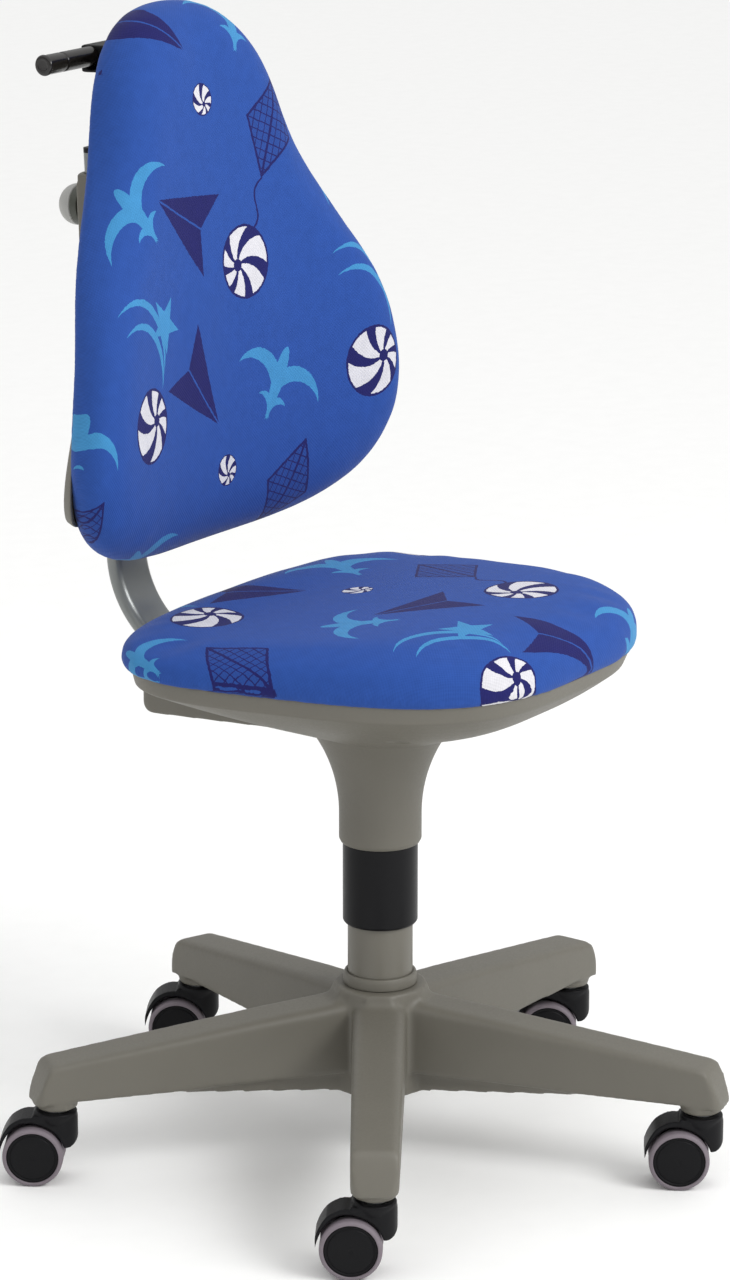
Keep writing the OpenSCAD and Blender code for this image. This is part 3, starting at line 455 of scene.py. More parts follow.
def print_bird(tree, cloth, repeat, x, y, turn):
    """Gliding bird: two sickle wings, a slim body and a forked tail."""
    place, across, up = motif_place(tree, cloth, repeat, x, y, turn)
    fold = mirrored(tree, across, up)
    wings = crescent(tree, fold, (24, -16, 31), (31, -27, 31))
    slim = vector(tree, "MULTIPLY", place, (1 / (7 * MM), 1 / (25 * MM), 1))
    girth = vector(tree, "LENGTH", slim)
    body = calc(tree, "LESS_THAN", girth, 1.0)
    tail = crescent(tree, fold, (9, -27, 11), (15, -33, 13))
    return either(tree, either(tree, wings, body), tail)


def print_star(tree, cloth, repeat, x, y, turn):
    """Five-pointed star that draws two curved streaks behind it."""
    place, across, up = motif_place(tree, cloth, repeat, x, y, turn)
    angle = calc(tree, "ARCTAN2", up, across)
    fold = calc(tree, "PINGPONG", angle, math.radians(36))
    off = calc(tree, "SUBTRACT", fold, math.radians(69.7))
    lean = calc(tree, "COSINE", off)
    far = vector(tree, "LENGTH", place)
    face = calc(tree, "MULTIPLY", far, lean)
    star = calc(tree, "LESS_THAN", face, 8.33 * MM)
    upper = crescent(tree, place, (-40, -34, 46), (-44, -44, 50))
    lower = crescent(tree, place, (-34, -46, 40), (-38, -56, 44))
    return either(tree, star, either(tree, upper, lower))


def print_kite(tree, cloth, repeat, x, y, turn):
    """Diamond kite with a net between its spars and a waving tail: its lines and its sail."""
    across, up = motif_place(tree, cloth, repeat, x, y, turn)[1:]
    side = calc(tree, "ABSOLUTE", across)
    height = calc(tree, "ABSOLUTE", up)
    width = calc(tree, "MULTIPLY", side, 1 / (31 * MM))
    level = calc(tree, "MULTIPLY_ADD", height, 1 / (44 * MM), width)
    sail = calc(tree, "LESS_THAN", level, 1.0)
    frame_edge = calc(tree, "GREATER_THAN", level, 0.91)
    weft = calc(tree, "LESS_THAN", calc(tree, "PINGPONG", across, 3.6 * MM), 0.5 * MM)
    warp = calc(tree, "LESS_THAN", calc(tree, "PINGPONG", up, 3.6 * MM), 0.5 * MM)
    spar = calc(tree, "LESS_THAN", side, 1.3 * MM)
    lines = both(tree, either(tree, either(tree, weft, warp), either(tree, frame_edge, spar)), sail)
    wave = calc(tree, "SINE", calc(tree, "MULTIPLY", up, 1 / (7 * MM)))
    tail_line = calc(tree, "MULTIPLY_ADD", wave, -5 * MM, across)
    off_line = calc(tree, "ABSOLUTE", tail_line)
    near = calc(tree, "LESS_THAN", off_line, 1.1 * MM)
    below = calc(tree, "LESS_THAN", up, -43 * MM)
    above = calc(tree, "GREATER_THAN", up, -88 * MM)
    tail = both(tree, near, both(tree, below, above))
    return either(tree, lines, tail), sail


def print_dart(tree, cloth, repeat, x, y, turn):
    """Folded paper dart: an arrow with a notched tail and a fold along its middle."""
    across, up = motif_place(tree, cloth, repeat, x, y, turn)[1:]
    side = calc(tree, "ABSOLUTE", across)
    nose = calc(tree, "MULTIPLY_ADD", side, 2.4, up)
    front = calc(tree, "LESS_THAN", nose, 46 * MM)
    heel = calc(tree, "MULTIPLY_ADD", side, 0.45, up)
    behind = calc(tree, "GREATER_THAN", heel, -22 * MM)
    fold = calc(tree, "GREATER_THAN", side, 0.8 * MM)
    return both(tree, both(tree, front, behind), fold)


def printed_cloth(name, look):
    """Printed polyester weave over foam: a matt ground with a pale sheen at grazing angles, threads that
    cross at the thread pitch, and generic motifs of play in white, navy and light blue."""
    finish, tree, place = start_finish(name)
    cloth = add(tree, "UVMap", uv_map="print").outputs["UV"]
    fray = noise(tree, place, 3, 1.0)
    loose = vector(tree, "SUBTRACT", fray.outputs["Color"], (0.5, 0.5, 0.5))
    shifted = vector(tree, "MULTIPLY_ADD", loose, (1.4 * MM, 1.4 * MM, 0), cloth)
    repeat = look.repeat
    balls = [print_ball(tree, shifted, repeat, *spot) for spot in (
        (-100, 100, 20, look.ball), (60, -95, 205, look.ball), (25, 40, 100, look.small_ball))]
    light = print_bird(tree, shifted, repeat, 95, 105, 28)
    light = either(tree, light, print_bird(tree, shifted, repeat, -85, -30, -35))
    light = either(tree, light, print_star(tree, shifted, repeat, -65, -125, 20))
    lines, sail = print_kite(tree, shifted, repeat, 108, 8, 24)
    navy = either(tree, lines, print_dart(tree, shifted, repeat, -15, 115, 140))
    navy = either(tree, navy, print_dart(tree, shifted, repeat, -15, -50, -62))
    white = balls[0][0]
    ink = balls[0][1]
    for disc, panels in balls[1:]:
        white = either(tree, white, disc)
        ink = either(tree, ink, panels)
    shaded = both(tree, sail, calc(tree, "MULTIPLY", sail, 0.22))
    tone = mix(tree, shaded, rgba(look.ground), rgba(look.navy))
    for mask, colour in ((light, look.sky), (navy, look.navy), (white, look.white), (ink, look.navy)):
        tone = mix(tree, mask, tone, rgba(colour))
    grid = vector(tree, "MULTIPLY", cloth, (math.pi / look.thread,) * 3)
    waves = vector(tree, "SINE", grid)
    threads = add(tree, "SeparateXYZ", waves)
    weave = both(tree, threads.outputs["X"], threads.outputs["Y"])
    slub = noise(tree, place, 9, 4.0)
    # The threads' colour follows their height: painted light where they rise and painted shade where they
    # dip.
    grey = add(tree, "MapRange", weave, -1.0, 1.0, 0.93, 1.06)
    uneven = add(tree, "MapRange", slub, 0.3, 0.7, 0.95, 1.05)
    woven = vector(tree, "SCALE", tone, sockets={"Scale": both(tree, grey, uneven)})
    relief = bumps(tree, weave, 0.3, 0.25)
    close_finish(tree, Base_Color=woven, Roughness=0.82, Normal=relief, Sheen_Weight=0.08,
                 Sheen_Roughness=0.4, IOR=1.45, Specular_IOR_Level=0.2)
    return finish


def solid(name, points, faces, sharp=35):
    """Object with a closed mesh, its faces turned outwards and smooth but for its sharp edges."""
    mesh = bpy.data.meshes.new(name)
    mesh.from_pydata([tuple(p) for p in points], [], faces)
    form = bmesh.new()
    form.from_mesh(mesh)
    bmesh.ops.remove_doubles(form, verts=form.verts, dist=1e-6)
    bmesh.ops.recalc_face_normals(form, faces=form.faces)
    form.to_mesh(mesh)
    form.free()
    mesh.shade_smooth()
    mesh.set_sharp_from_angle(angle=math.radians(sharp))
    shape = bpy.data.objects.new(name, mesh)
    bpy.context.scene.collection.objects.link(shape)
    return shape


def skin(rings, loop=False):
    """Points and faces over rings of equal count, joined in a loop or closed at both ends."""
    count = len(rings[0])
    points = [p for ring in rings for p in ring]
    spans = len(rings) if loop else len(rings) - 1
    faces = []
    for r in range(spans):
        low = r * count
        high = (r + 1) % len(rings) * count
        faces += [(low + i, low + (i + 1) % count, high + (i + 1) % count, high + i) for i in range(count)]
    if not loop:
        last = spans * count
        for first in (0, last):
            middle = sum((Vector(p) for p in points[first:first + count]), Vector()) / count
            points.append(middle)
            faces += [(first + i, first + (i + 1) % count, len(points) - 1) for i in range(count)]
    return points, faces


def soften(profile, radius, steps=4):
    """Closed profile with rounded corners, in the profile's own units."""
    soft = []
    for i, here in enumerate(profile):
        here = Vector(here)
        back = Vector(profile[i - 1]) - here
        ahead = Vector(profile[(i + 1) % len(profile)]) - here
        reach_back = min(radius, back.length * 0.45)
        reach_ahead = min(radius, ahead.length * 0.45)
        if here.x == 0 or back.length == 0 or ahead.length == 0:
            soft.append(here)
            continue
        start = here + back.normalized() * reach_back
        end = here + ahead.normalized() * reach_ahead
        for k in range(steps + 1):
            t = k / steps
            soft.append(start * (1 - t) ** 2 + here * 2 * t * (1 - t) + end * t ** 2)
    return soft


def turned(profile, place=None, count=96):
    """Points and faces of a shape turned on a lathe, its profile in millimetres as radius and height."""
    place = place or Matrix.Identity(4)
    rings = []
    for i in range(count):
        a = 2 * math.pi * i / count
        rings.append([place @ Vector((r * math.cos(a) * MM, r * math.sin(a) * MM, h * MM))
                      for r, h in profile])
    return skin(rings, loop=True)


def joined(*parts):
    """Points and faces of several shapes as one."""
    points = []
    faces = []
    for more, sides in parts:
        start = len(points)
        points += list(more)
        faces += [tuple(i + start for i in side) for side in sides]
    return points, faces


def box_shape(low, high):
    """Points and faces of a box between two corners in millimetres, used to cut openings."""
    corners = ((low[0], low[1]), (high[0], low[1]), (high[0], high[1]), (low[0], high[1]))
    return skin([[Vector((x, y, z)) * MM for x, y in corners] for z in (low[2], high[2])])


def settle(shape):
    """Makes a piece's modifiers part of its mesh."""
    graph = bpy.context.evaluated_depsgraph_get()
    mesh = bpy.data.meshes.new_from_object(shape.evaluated_get(graph))
    shape.modifiers.clear()
    shape.data = mesh


def cut(shape, tool, operation="DIFFERENCE"):
    """Cuts a tool out of a shape, or joins it to the shape."""
    step = shape.modifiers.new("cut", "BOOLEAN")
    step.object = tool
    step.operation = operation
    step.solver = "EXACT"
    settle(shape)
    bpy.data.objects.remove(tool)


def mould(shape, grid, rounds):
    """Rounds all edges and inner corners of a shape, as the draft and radii of a mould do."""
    voxels = shape.modifiers.new("grid", "REMESH")
    voxels.mode = "VOXEL"
    voxels.voxel_size = grid * MM
    even = shape.modifiers.new("even", "SMOOTH")
    even.factor = 0.5
    even.iterations = rounds
    settle(shape)
    shape.data.shade_smooth()


def mould_copy(name, node, grid, rounds, *more):
    """Moulded form of a packed part, with more shapes grown onto it."""
    shape = bpy.data.objects.new(name, NODES[node].data.copy())
    bpy.context.scene.collection.objects.link(shape)
    form = bmesh.new()
    form.from_mesh(shape.data)
    for points, faces in more:
        growth = solid("growth", points, faces)
        form.from_mesh(growth.data)
        bpy.data.objects.remove(growth)
    form.to_mesh(shape.data)
    form.free()
    mould(shape, grid, rounds)
    return shape


def ramp(value, start, end):
    """Share from 0 to 1 of the way from a start to an end."""
    return max(0.0, min(1.0, (value - start) / (end - start)))


def eased(value, start, end):
    """Share like a ramp's, with a soft start and end."""
    share = ramp(value, start, end)
    return share * share * (3 - 2 * share)


def hump(value, middle, width):
    """Smooth rise to 1 at a middle value."""
    return math.exp(-((value - middle) / width) ** 2)


def dress(piece, finish, *nodes):
    """Gives a piece the finish of a name and lets it stand for packed parts, whose body carries it."""
    piece.data.materials.clear()
    piece.data.materials.append(bpy.data.materials[finish])
    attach(piece, NODES[nodes[0]]["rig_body"])
    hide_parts(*nodes)


def egg(half_w, half_d, taper, square, turn, waist=0.0):
    """Point on a rounded outline that widens along its second axis and may have a waist."""
    c = math.cos(turn)
    s = math.sin(turn)
    across = math.copysign(abs(c) ** (2 / square), c)
    along = math.copysign(abs(s) ** (2 / square), s)
    drawn_in = waist * hump(along, 0.45, 0.35)
    return half_w * (1 + taper * along - drawn_in) * across, half_d * along


def seat_ring(seat, inset, z, count=240):
    """Outline of the seat, drawn in by an inset, at a height, both in millimetres."""
    ring = []
    for i in range(count):
        x, y = egg(seat.half_width - inset * MM, seat.half_depth - inset * MM, seat.taper, seat.square,
                   2 * math.pi * i / count)
        ring.append(Vector((x, y - seat.shift, z * MM)))
    return ring


def back_bend(back, u, v):
    """How far the bent backrest comes forward at a place across and up."""
    share = ramp(v, 0, back.height)
    # The wings bend further forward below the middle and less near the lower edge
    wings = back.wrap + (WING_MORE * hump(v, 0.185, 0.05) - WING_LESS * hump(v, 0.02, 0.075)) * MM
    return wings * (u / WING_OUT) ** 2 + back.bow * math.sin(math.pi * share) + back.nod * share ** 3


def back_point(back, u, v, w):
    """Point of the backrest: across, up, and forward of the cushion's rear face, in metres."""
    forward = w + back_bend(back, u, v)
    return Vector((u, back.rear - forward * math.cos(back.lean) + v * math.sin(back.lean),
                   back.low + v * math.cos(back.lean) + forward * math.sin(back.lean)))


def back_ring(back, inset, w, count=240):
    """Outline of the backrest, drawn in by an inset, at a distance forward of its rear face."""
    ring = []
    for i in range(count):
        square = back.square if 2 * i < count else back.low_square
        x, y = egg(back.half_width - inset * MM, back.height / 2 - inset * MM, -back.taper, square,
                   2 * math.pi * i / count, back.waist)
        ring.append(back_point(back, x, back.height / 2 + y, w * MM))
    return ring


def flowing(points, steps=4):
    """Smooth curve through the points of an open profile."""
    curve = []
    for i in range(len(points) - 1):
        p0, p1, p2, p3 = (Vector(points[max(0, min(len(points) - 1, i + k))]) for k in (-1, 0, 1, 2))
        for k in range(steps):
            t = k / steps
            curve.append(0.5 * (2 * p1 + (p2 - p0) * t + (2 * p0 - 5 * p1 + 4 * p2 - p3) * t ** 2
                                + (3 * p1 - 3 * p2 + p3 - p0) * t ** 3))
    curve.append(Vector(points[-1]))
    return curve


def stuff(cover, padding, seated):
    """Swells a cover by the pressure of its stuffing, held where it is seated."""
    grid = cover.modifiers.new("grid", "REMESH")
    grid.mode = "VOXEL"
    grid.voxel_size = padding.mesh
    settle(cover)
    start = [v.co.copy() for v in cover.data.vertices]
    held = cover.vertex_groups.new(name="held")
    held.add([i for i, p in enumerate(start) if seated(p)], 1.0, "REPLACE")
    cloth = cover.modifiers.new("cloth", "CLOTH")
    cloth.settings.vertex_group_mass = "held"
    cloth.settings.use_pressure = True
    cloth.settings.uniform_pressure_force = padding.pressure
    cloth.settings.effector_weights.gravity = 0
    cloth.collision_settings.use_collision = False
    for step in range(1, padding.steps + 1):
        bpy.context.scene.frame_set(step)
    graph = bpy.context.evaluated_depsgraph_get()
    swollen = [v.co.copy() for v in cover.evaluated_get(graph).data.vertices]
    cover.modifiers.clear()
    bpy.context.scene.frame_set(1)
    for v, before, after in zip(cover.data.vertices, start, swollen):
        move = after - before
        move.length = min(move.length, padding.swell)
        v.co = before + move
    even = cover.modifiers.new("even", "SMOOTH")
    even.factor = 0.5
    even.iterations = CREASE_ROUNDS
    fine = cover.modifiers.new("fine", "SUBSURF")
    fine.levels = 1
    settle(cover)
    cover.data.shade_smooth()


def fit(cover, rings, axes):
    """Brings a stuffed cover back to the outline that its rings draw, along two axes."""
    for axis in axes:
        drawn = [p[axis] for ring in rings for p in ring]
        start = min(v.co[axis] for v in cover.data.vertices)
        end = max(v.co[axis] for v in cover.data.vertices)
        share = (max(drawn) - min(drawn)) / (end - start)
        for v in cover.data.vertices:
            v.co[axis] = min(drawn) + (v.co[axis] - start) * share


def trim(cover):
    """Joins the points that came together on a cover's flat side and keeps the edge round it sharp."""
    form = bmesh.new()
    form.from_mesh(cover.data)
    bmesh.ops.remove_doubles(form, verts=form.verts, dist=0.3 * MM)
    bmesh.ops.dissolve_degenerate(form, edges=form.edges, dist=0.05 * MM)
    form.to_mesh(cover.data)
    form.free()
    cover.data.set_sharp_from_angle(angle=math.radians(50))


def lay_cloth(cover, spot):
    """Gives each point of a cover its place on the cloth, so that the print runs on round the edges."""
    mesh = cover.data
    places = [spot(v.co, v.normal) for v in mesh.vertices]
    layer = mesh.uv_layers.new(name="print")
    for corner in mesh.loops:
        layer.data[corner.index].uv = places[corner.vertex_index]


class CHAIR_OT_seat_cushion(bpy.types.Operator):
    """Upholstered seat cushion, stuffed and printed"""
    bl_idname = "chair.seat_cushion"
    bl_label = "Seat cushion"

    def execute(self, context):
        seat = context.scene.chair_seat
        padding = context.scene.chair_padding
        base = seat.rim / MM + 0.3
        crown = seat.crown / MM

        def drawn(slack):
            """Rings of the cushion, drawn in by the slack."""
            profile = flowing([(1 + slack, 0.02), (1 + slack, 0.15), (slack, 0.37), (2 + slack, 0.6),
                               (8 + slack, 0.79), (20 + slack, 0.9), (45 + slack, 0.965), (90, 0.99)])
            rings = [seat_ring(seat, inset + slack, base - SKIRT) for inset in (60, 25, 2)]
            rings += [seat_ring(seat, p.x, base + p.y * crown) for p in profile]
            return rings + [seat_ring(seat, 130, base + crown)]

        cover = solid("seat_cushion_cover", *skin(drawn(padding.slack / MM)))
        stuff(cover, padding, lambda p: p.z < base * MM)
        fit(cover, drawn(0), (0, 1))
        for v in cover.data.vertices:
            forward = -(v.co.y + seat.shift) / seat.half_depth
            tilt = seat.front_lift * eased(forward, -0.5, 0.6) - seat.rear_drop * hump(forward, -0.6, 0.22)
            share = max(0, v.co.z / MM - base) / crown
            v.co.z = max(v.co.z, base * MM) + tilt * share
        trim(cover)
        top = max(v.co.z for v in cover.data.vertices)

        def spot(p, n):
            """Place on the cloth, which runs down over the sides."""
            past = (top - p.z) * EDGE_RUN
            return p.x + n.x * past, p.y + n.y * past

        lay_cloth(cover, spot)
        dress(cover, "printed_polyester_weave", "seat_cushion")
        return {"FINISHED"}


class CHAIR_OT_back_cushion(bpy.types.Operator):
    """Upholstered backrest cushion, stuffed and printed"""
    bl_idname = "chair.back_cushion"
    bl_label = "Back cushion"

    def execute(self, context):
        back = context.scene.chair_back
        padding = context.scene.chair_padding
        deep = back.thickness / MM

        def drawn(slack):
            """Rings of the cushion, drawn in by the slack."""
            profile = flowing([(9 + slack, 0), (4 + slack, 0.04), (1 + slack, 0.14), (slack, 0.32),
                               (2 + slack, 0.52), (9 + slack, 0.73), (22 + slack, 0.88), (45 + slack, 0.96),
                               (85 + slack, 0.99), (120, 1)])
            rings = [back_ring(back, inset + slack, -SKIRT) for inset in (90, 50, 25, 12)]
            return rings + [back_ring(back, p.x, p.y * deep) for p in profile]

        cover = solid("back_cushion_cover", *skin(drawn(padding.slack / MM)))
        origin = back_point(back, 0, 0, 0)
        up = Vector((0, math.sin(back.lean), math.cos(back.lean)))
        forward = Vector((0, -math.cos(back.lean), math.sin(back.lean)))

        def flat(p):
            """Across, up and forward of the rear face."""
            v = (p - origin).dot(up)
            return p.x, v, (p - origin).dot(forward) - back_bend(back, p.x, v)

        stuff(cover, padding, lambda p: flat(p)[2] < 0)
        fit(cover, drawn(0), (0, 2))
        for v in cover.data.vertices:
            v.co += forward * max(0, -flat(v.co)[2])
        trim(cover)

        def spot(p, n):
            """Place on the cloth, which runs round the sides to the rear."""
            u, v, w = flat(p)
            past = (back.thickness - w) * EDGE_RUN
            return u + n.x * past + 0.035, v + n.dot(up) * past - 0.02

        lay_cloth(cover, spot)
        dress(cover, "printed_polyester_weave", "back_cushion")
        return {"FINISHED"}


def pan_ring(seat, front, rear, z):
    """Outline of the pan, drawn in by one inset at its front and another at its rear."""
    ring = []
    for here, there in zip(seat_ring(seat, front, z), seat_ring(seat, rear, z)):
        ring.append(here.lerp(there, ramp(here.y + seat.shift, -seat.half_depth, seat.half_depth / 2)))
    return ring


def pan_body(seat, wall):
    """Band and funnel of the seat pan, drawn in by a wall. The funnel joins points that face alike."""
    edge = pan_ring(seat, 10 + wall, 8 + wall, BAND_Z + wall / 2)
    floor = []
    for i, here in enumerate(edge):
        run = edge[(i + 1) % len(edge)] - edge[i - 1]
        out = Vector((run.y, -run.x, 0)).normalized()
        middle = Vector((0, -PAN_FLOOR_SHIFT, PAN_FLOOR_Z + wall)) * MM
        floor.append(middle + out * (PAN_FLOOR_R - wall / 2) * MM)
    rings = []
    for k in range(13):
        ring = [low.lerp(high, k / 12) for low, high in zip(floor, edge)]
        for here in ring:
            forward = max(0, -(here.y + seat.shift) / seat.half_depth)
            here.z -= (FUNNEL_BULGE + 7 * forward) * MM * math.sin(math.pi * (k / 12) ** 1.3)
        rings.append(ring)
    rings.append(pan_ring(seat, 4 + wall, 5 + wall, seat.rim / MM + 0.8 + wall))
    return skin(rings)


def trough_body(wall):
    """Trough for the back bar at the rear of the pan, with a rounded lower rear edge."""
    half = TROUGH["half"] - wall
    rear = TROUGH["rear"] - wall
    low = TROUGH["low"] + wall
    corner = TROUGH["round"] - wall
    top = TROUGH["top"] + (1 if wall else 0)
    front = TROUGH["front"]
    arc = [math.radians(a) for a in range(0, 91, 15)]
    turns = [(corner * (1 - math.cos(a)), corner * (1 - math.sin(a))) for a in arc]
    rings = []
    for z, back_off in [(low + up, back) for up, back in turns] + [(top, 0)]:
        end = rear - back_off
        ring = [(-half, front), (half, front)]
        ring += [(half - aside, end - back) for aside, back in turns]
        ring += [(-half + aside, end - back) for aside, back in reversed(turns)]
        rise = TROUGH["rise"] * (TROUGH["top"] - z) / (TROUGH["top"] - TROUGH["low"])
        rings.append([Vector((x, y, z + rise * (1 - ramp(y, front, end)))) * MM for x, y in ring])
    return skin(rings)


class CHAIR_OT_seat_pan(bpy.types.Operator):
    """Moulded pan under the seat with its trough, slots and screw recesses"""
    bl_idname = "chair.seat_pan"
    bl_label = "Seat pan"

    def execute(self, context):
        seat = context.scene.chair_seat
        pan = solid("seat_pan_moulding", *pan_body(seat, 0))
        cut(pan, solid("trough", *trough_body(0)), "UNION")
        hollow = solid("hollow", *pan_body(seat, PAN_WALL))
        post = [(0, POST_Z), (RECESS_R + PAN_WALL, POST_Z), (RECESS_R + PAN_WALL, BOARD_Z), (0, BOARD_Z)]
        posts = [turned(post, Matrix.Translation((x * MM, y * MM, 0)), 40) for x, y in PAN_SCREWS]
        cut(hollow, solid("posts", *joined(*posts)))
        cut(pan, hollow)
        cut(pan, solid("trough_hollow", *trough_body(PAN_WALL)))
        # The covers of the column end under the pan, and the mechanism's socket comes up through its floor
        neck = [(0, BELOW), (CONE_TOP_R, BELOW), (CONE_TOP_R, PAN_FLOOR_Z), (SOCKET_R, PAN_FLOOR_Z),
                (SOCKET_R, BAND_Z), (0, BAND_Z)]
        cut(pan, solid("neck", *turned(neck)))
        recess = [(0, BELOW), (RECESS_R, BELOW), (RECESS_R, RECESS_Z), (SCREW_R, RECESS_Z),
                  (SCREW_R, ABOVE), (0, ABOVE)]
        holes = [turned(recess, Matrix.Translation((x * MM, y * MM, 0)), 40) for x, y in PAN_SCREWS]
        side = Matrix.Translation((0, KNOB_Y * MM, BAR["z"] * MM)) @ Matrix.Rotation(math.pi / 2, 4, "Y")
        knob_hole = [(0, TROUGH["half"] - 6), (5, TROUGH["half"] - 6), (5, TROUGH["half"] + 4),
                     (0, TROUGH["half"] + 4)]
        holes.append(turned(knob_hole, side, 40))
        # Slots for the back bar at the rear and for the height lever at the side
        holes.append(box_shape((-24.5, 175, BAR["z"] - 10), (24.5, 235, ABOVE)))
        holes.append(box_shape((110, -8, LEVER_SLOT_Z), (240, 8, BOARD_Z - 1)))
        cut(pan, solid("holes", *joined(*holes)))
        mould(pan, 1.6, 5)
        dress(pan, "moulded_abs_taupe", "seat_pan")
        edge = 14.5
        panel = [(60, BOARD_Z), (edge + 1, BOARD_Z), (edge, BOARD_Z + 1), (edge, RIM_Z - 1),
                 (edge + 1, RIM_Z), (60, RIM_Z)]
        board = solid("seat_board_panel", *skin([seat_ring(seat, inset, z) for inset, z in panel]))
        dress(board, "birch_plywood", "seat_board")
        return {"FINISHED"}


class CHAIR_OT_back_shell(bpy.types.Operator):
    """Moulded tray behind the backrest's cushion"""
    bl_idname = "chair.back_shell"
    bl_label = "Back shell"

    def execute(self, context):
        back = context.scene.chair_back
        rim = -0.4
        rear = -11.1
        floor = -7.6
        tucked = soften([(74, rear), (60, rear), (38, rear + 4), (26, rear + 8), (19, rim), (24, rim),
                         (42, rear + 7), (60, floor)], 3)
        shown = soften([(74, rear), (50, rear), (22, rear + 0.5), (4, rear + 2), (-2, 0.8), (3, 1),
                        (20, floor), (60, floor)], 3)
        profile = [((120, rear), (120, rear)), ((60, rear), (60, rear)), *zip(tucked, shown),
                   ((60, floor), (60, floor)), ((120, floor), (120, floor))]
        rings = []
        for (inset, w), (wide, w_wide) in profile:
            ring = []
            for here, there in zip(back_ring(back, inset, w), back_ring(back, wide, w_wide)):
                v = (there.z - back.low) / MM
                ring.append(here.lerp(there, eased(v, 22, 60) * (1 - eased(v, 62, 145))))
            rings.append(ring)
        shell = solid("back_shell_moulding", *skin(rings), sharp=50)
        dress(shell, "moulded_abs_taupe", "back_shell")
        panel = [(120, floor + 0.2), (66, floor + 0.2), (46, rear + 7.4), (28, rim - 2), (28, rim - 0.4),
                 (60, rim - 0.4), (120, rim - 0.4)]
        board = solid("back_board_panel", *skin([back_ring(back, inset, w) for inset, w in panel]),
                      sharp=50)
        dress(board, "birch_plywood", "back_board")
        return {"FINISHED"}


class CHAIR_OT_base(bpy.types.Operator):
    """Five-arm base moulding and the ring round the column's foot"""
    bl_idname = "chair.base"
    bl_label = "Base"

    def execute(self, context):
        star = mould_copy("base_moulding", "base_star", 2.2, 7)
        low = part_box("base_star")[0].z / MM
        for v in star.data.vertices:
            # Only the upper faces move: a little up along the arms, then down in a slope to their ends
            far = v.co.xy.length / MM
            raised = ramp(v.co.z / MM, low + 8, low + 36)
            v.co.z += (0.8 * ramp(far, 60, 100) - ARM_SLOPE * ramp(far, 275, 296) ** 2) * raised * MM
            v.co.xy *= 1 - 0.04 * max(0, far - 250) / far
        dress(star, "moulded_abs_taupe", "base_star")
        low, high = (c.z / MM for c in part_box("collar_ring"))
        inner = COLUMN_R + 0.05
        ring = soften([(inner, low), (COLUMN_R + 3.5, low), (COLUMN_R + 3.5, high - 3),
                       (COLUMN_R + 2.5, high), (inner, high)], 1.0)
        collar = solid("column_foot_ring", *turned(ring))
        dress(collar, "moulded_abs_taupe", "collar_ring")
        return {"FINISHED"}


class CHAIR_OT_column(bpy.types.Operator):
    """Column tube and the two covers that telescope over it"""
    bl_idname = "chair.column"
    bl_label = "Column"

    def execute(self, context):
        low, high = (c.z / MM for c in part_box("column_tube"))
        inner = COLUMN_R - 2
        tube = soften([(5.05, low), (COLUMN_R, low), (COLUMN_R, high), (inner, high), (inner, low + 3),
                       (5.05, low + 3)], 0.6)
        dress(solid("column_tube_painted", *turned(tube)), "powder_coated_steel", "column_tube")
        low, high = (c.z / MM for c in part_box("mid_tube"))
        lip = COLUMN_R + 0.3
        inner = MID_R - 2.5
        cover = soften([(lip, low), (MID_R - 1.5, low), (MID_R, low + 2), (MID_R, high), (inner, high),
                        (inner, low + 8), (lip, low + 8)], 0.7)
        dress(solid("middle_cover", *turned(cover)), "moulded_abs_black", "mid_tube")
        low, high = (c.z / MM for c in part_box("upper_cone"))
        # The cover stands straight for its first 24 mm and then flares out on an arc
        heights = [3 + (high - low - 3) * i / 28 for i in range(29)]
        outer = []
        for h in heights:
            rise = max(0, h - 24)
            outer.append((CONE_R + FLARE_R - math.sqrt(FLARE_R ** 2 - rise ** 2), low + h))
        bore = MID_R + 0.3
        inner = [(max(bore, r - 2.2), z) for r, z in reversed(outer)]
        flare = soften([(bore, low), (CONE_R - 1.5, low)] + outer + inner[:-1], 0.6, 2)
        dress(solid("upper_cover", *turned(flare)), "moulded_abs_taupe", "upper_cone")
        return {"FINISHED"}


def bar_ring(y, z, turn, w, t):
    """Flat-oval section of the back bar round a place on its centre line, in millimetres."""
    ring = []
    for side in (1, -1):
        for a in range(-90, 91, 6):
            x = side * ((w - t) / 2 + t / 2 * math.cos(math.radians(a)))
            n = side * t / 2 * math.sin(math.radians(a))
            ring.append(Vector((-x, y - n * math.sin(turn), z + n * math.cos(turn))) * MM)
    return ring


class CHAIR_OT_back_bar(bpy.types.Operator):
    """Bent flat-oval tube that carries the backrest"""
    bl_idname = "chair.back_bar"
    bl_label = "Back bar"

    def execute(self, context):
        reach_turn = math.radians(87)
        top = UPRIGHT @ Vector((0, 0, BAR["length"] * MM)) / MM
        centre = [(BAR["start"], BAR["z"], 0.0)]
        for i in range(49):
            a = reach_turn * i / 48
            centre.append((BAR["bend_y"] + BAR["bend"] * math.sin(a),
                           BAR["z"] + BAR["bend"] * (1 - math.cos(a)), a))
        centre.append((top.y, top.z, reach_turn))
        outer = [bar_ring(*spot, BAR["w"], BAR["t"]) for spot in centre]
        wall = 2 * BAR["wall"]
        inner = [bar_ring(*spot, BAR["w"] - wall, BAR["t"] - wall) for spot in reversed(centre)]
        tube = solid("back_bar_tube", *skin(outer + inner, loop=True), sharp=50)
        dress(tube, "silver_lacquered_steel", "back_bar")
        return {"FINISHED"}


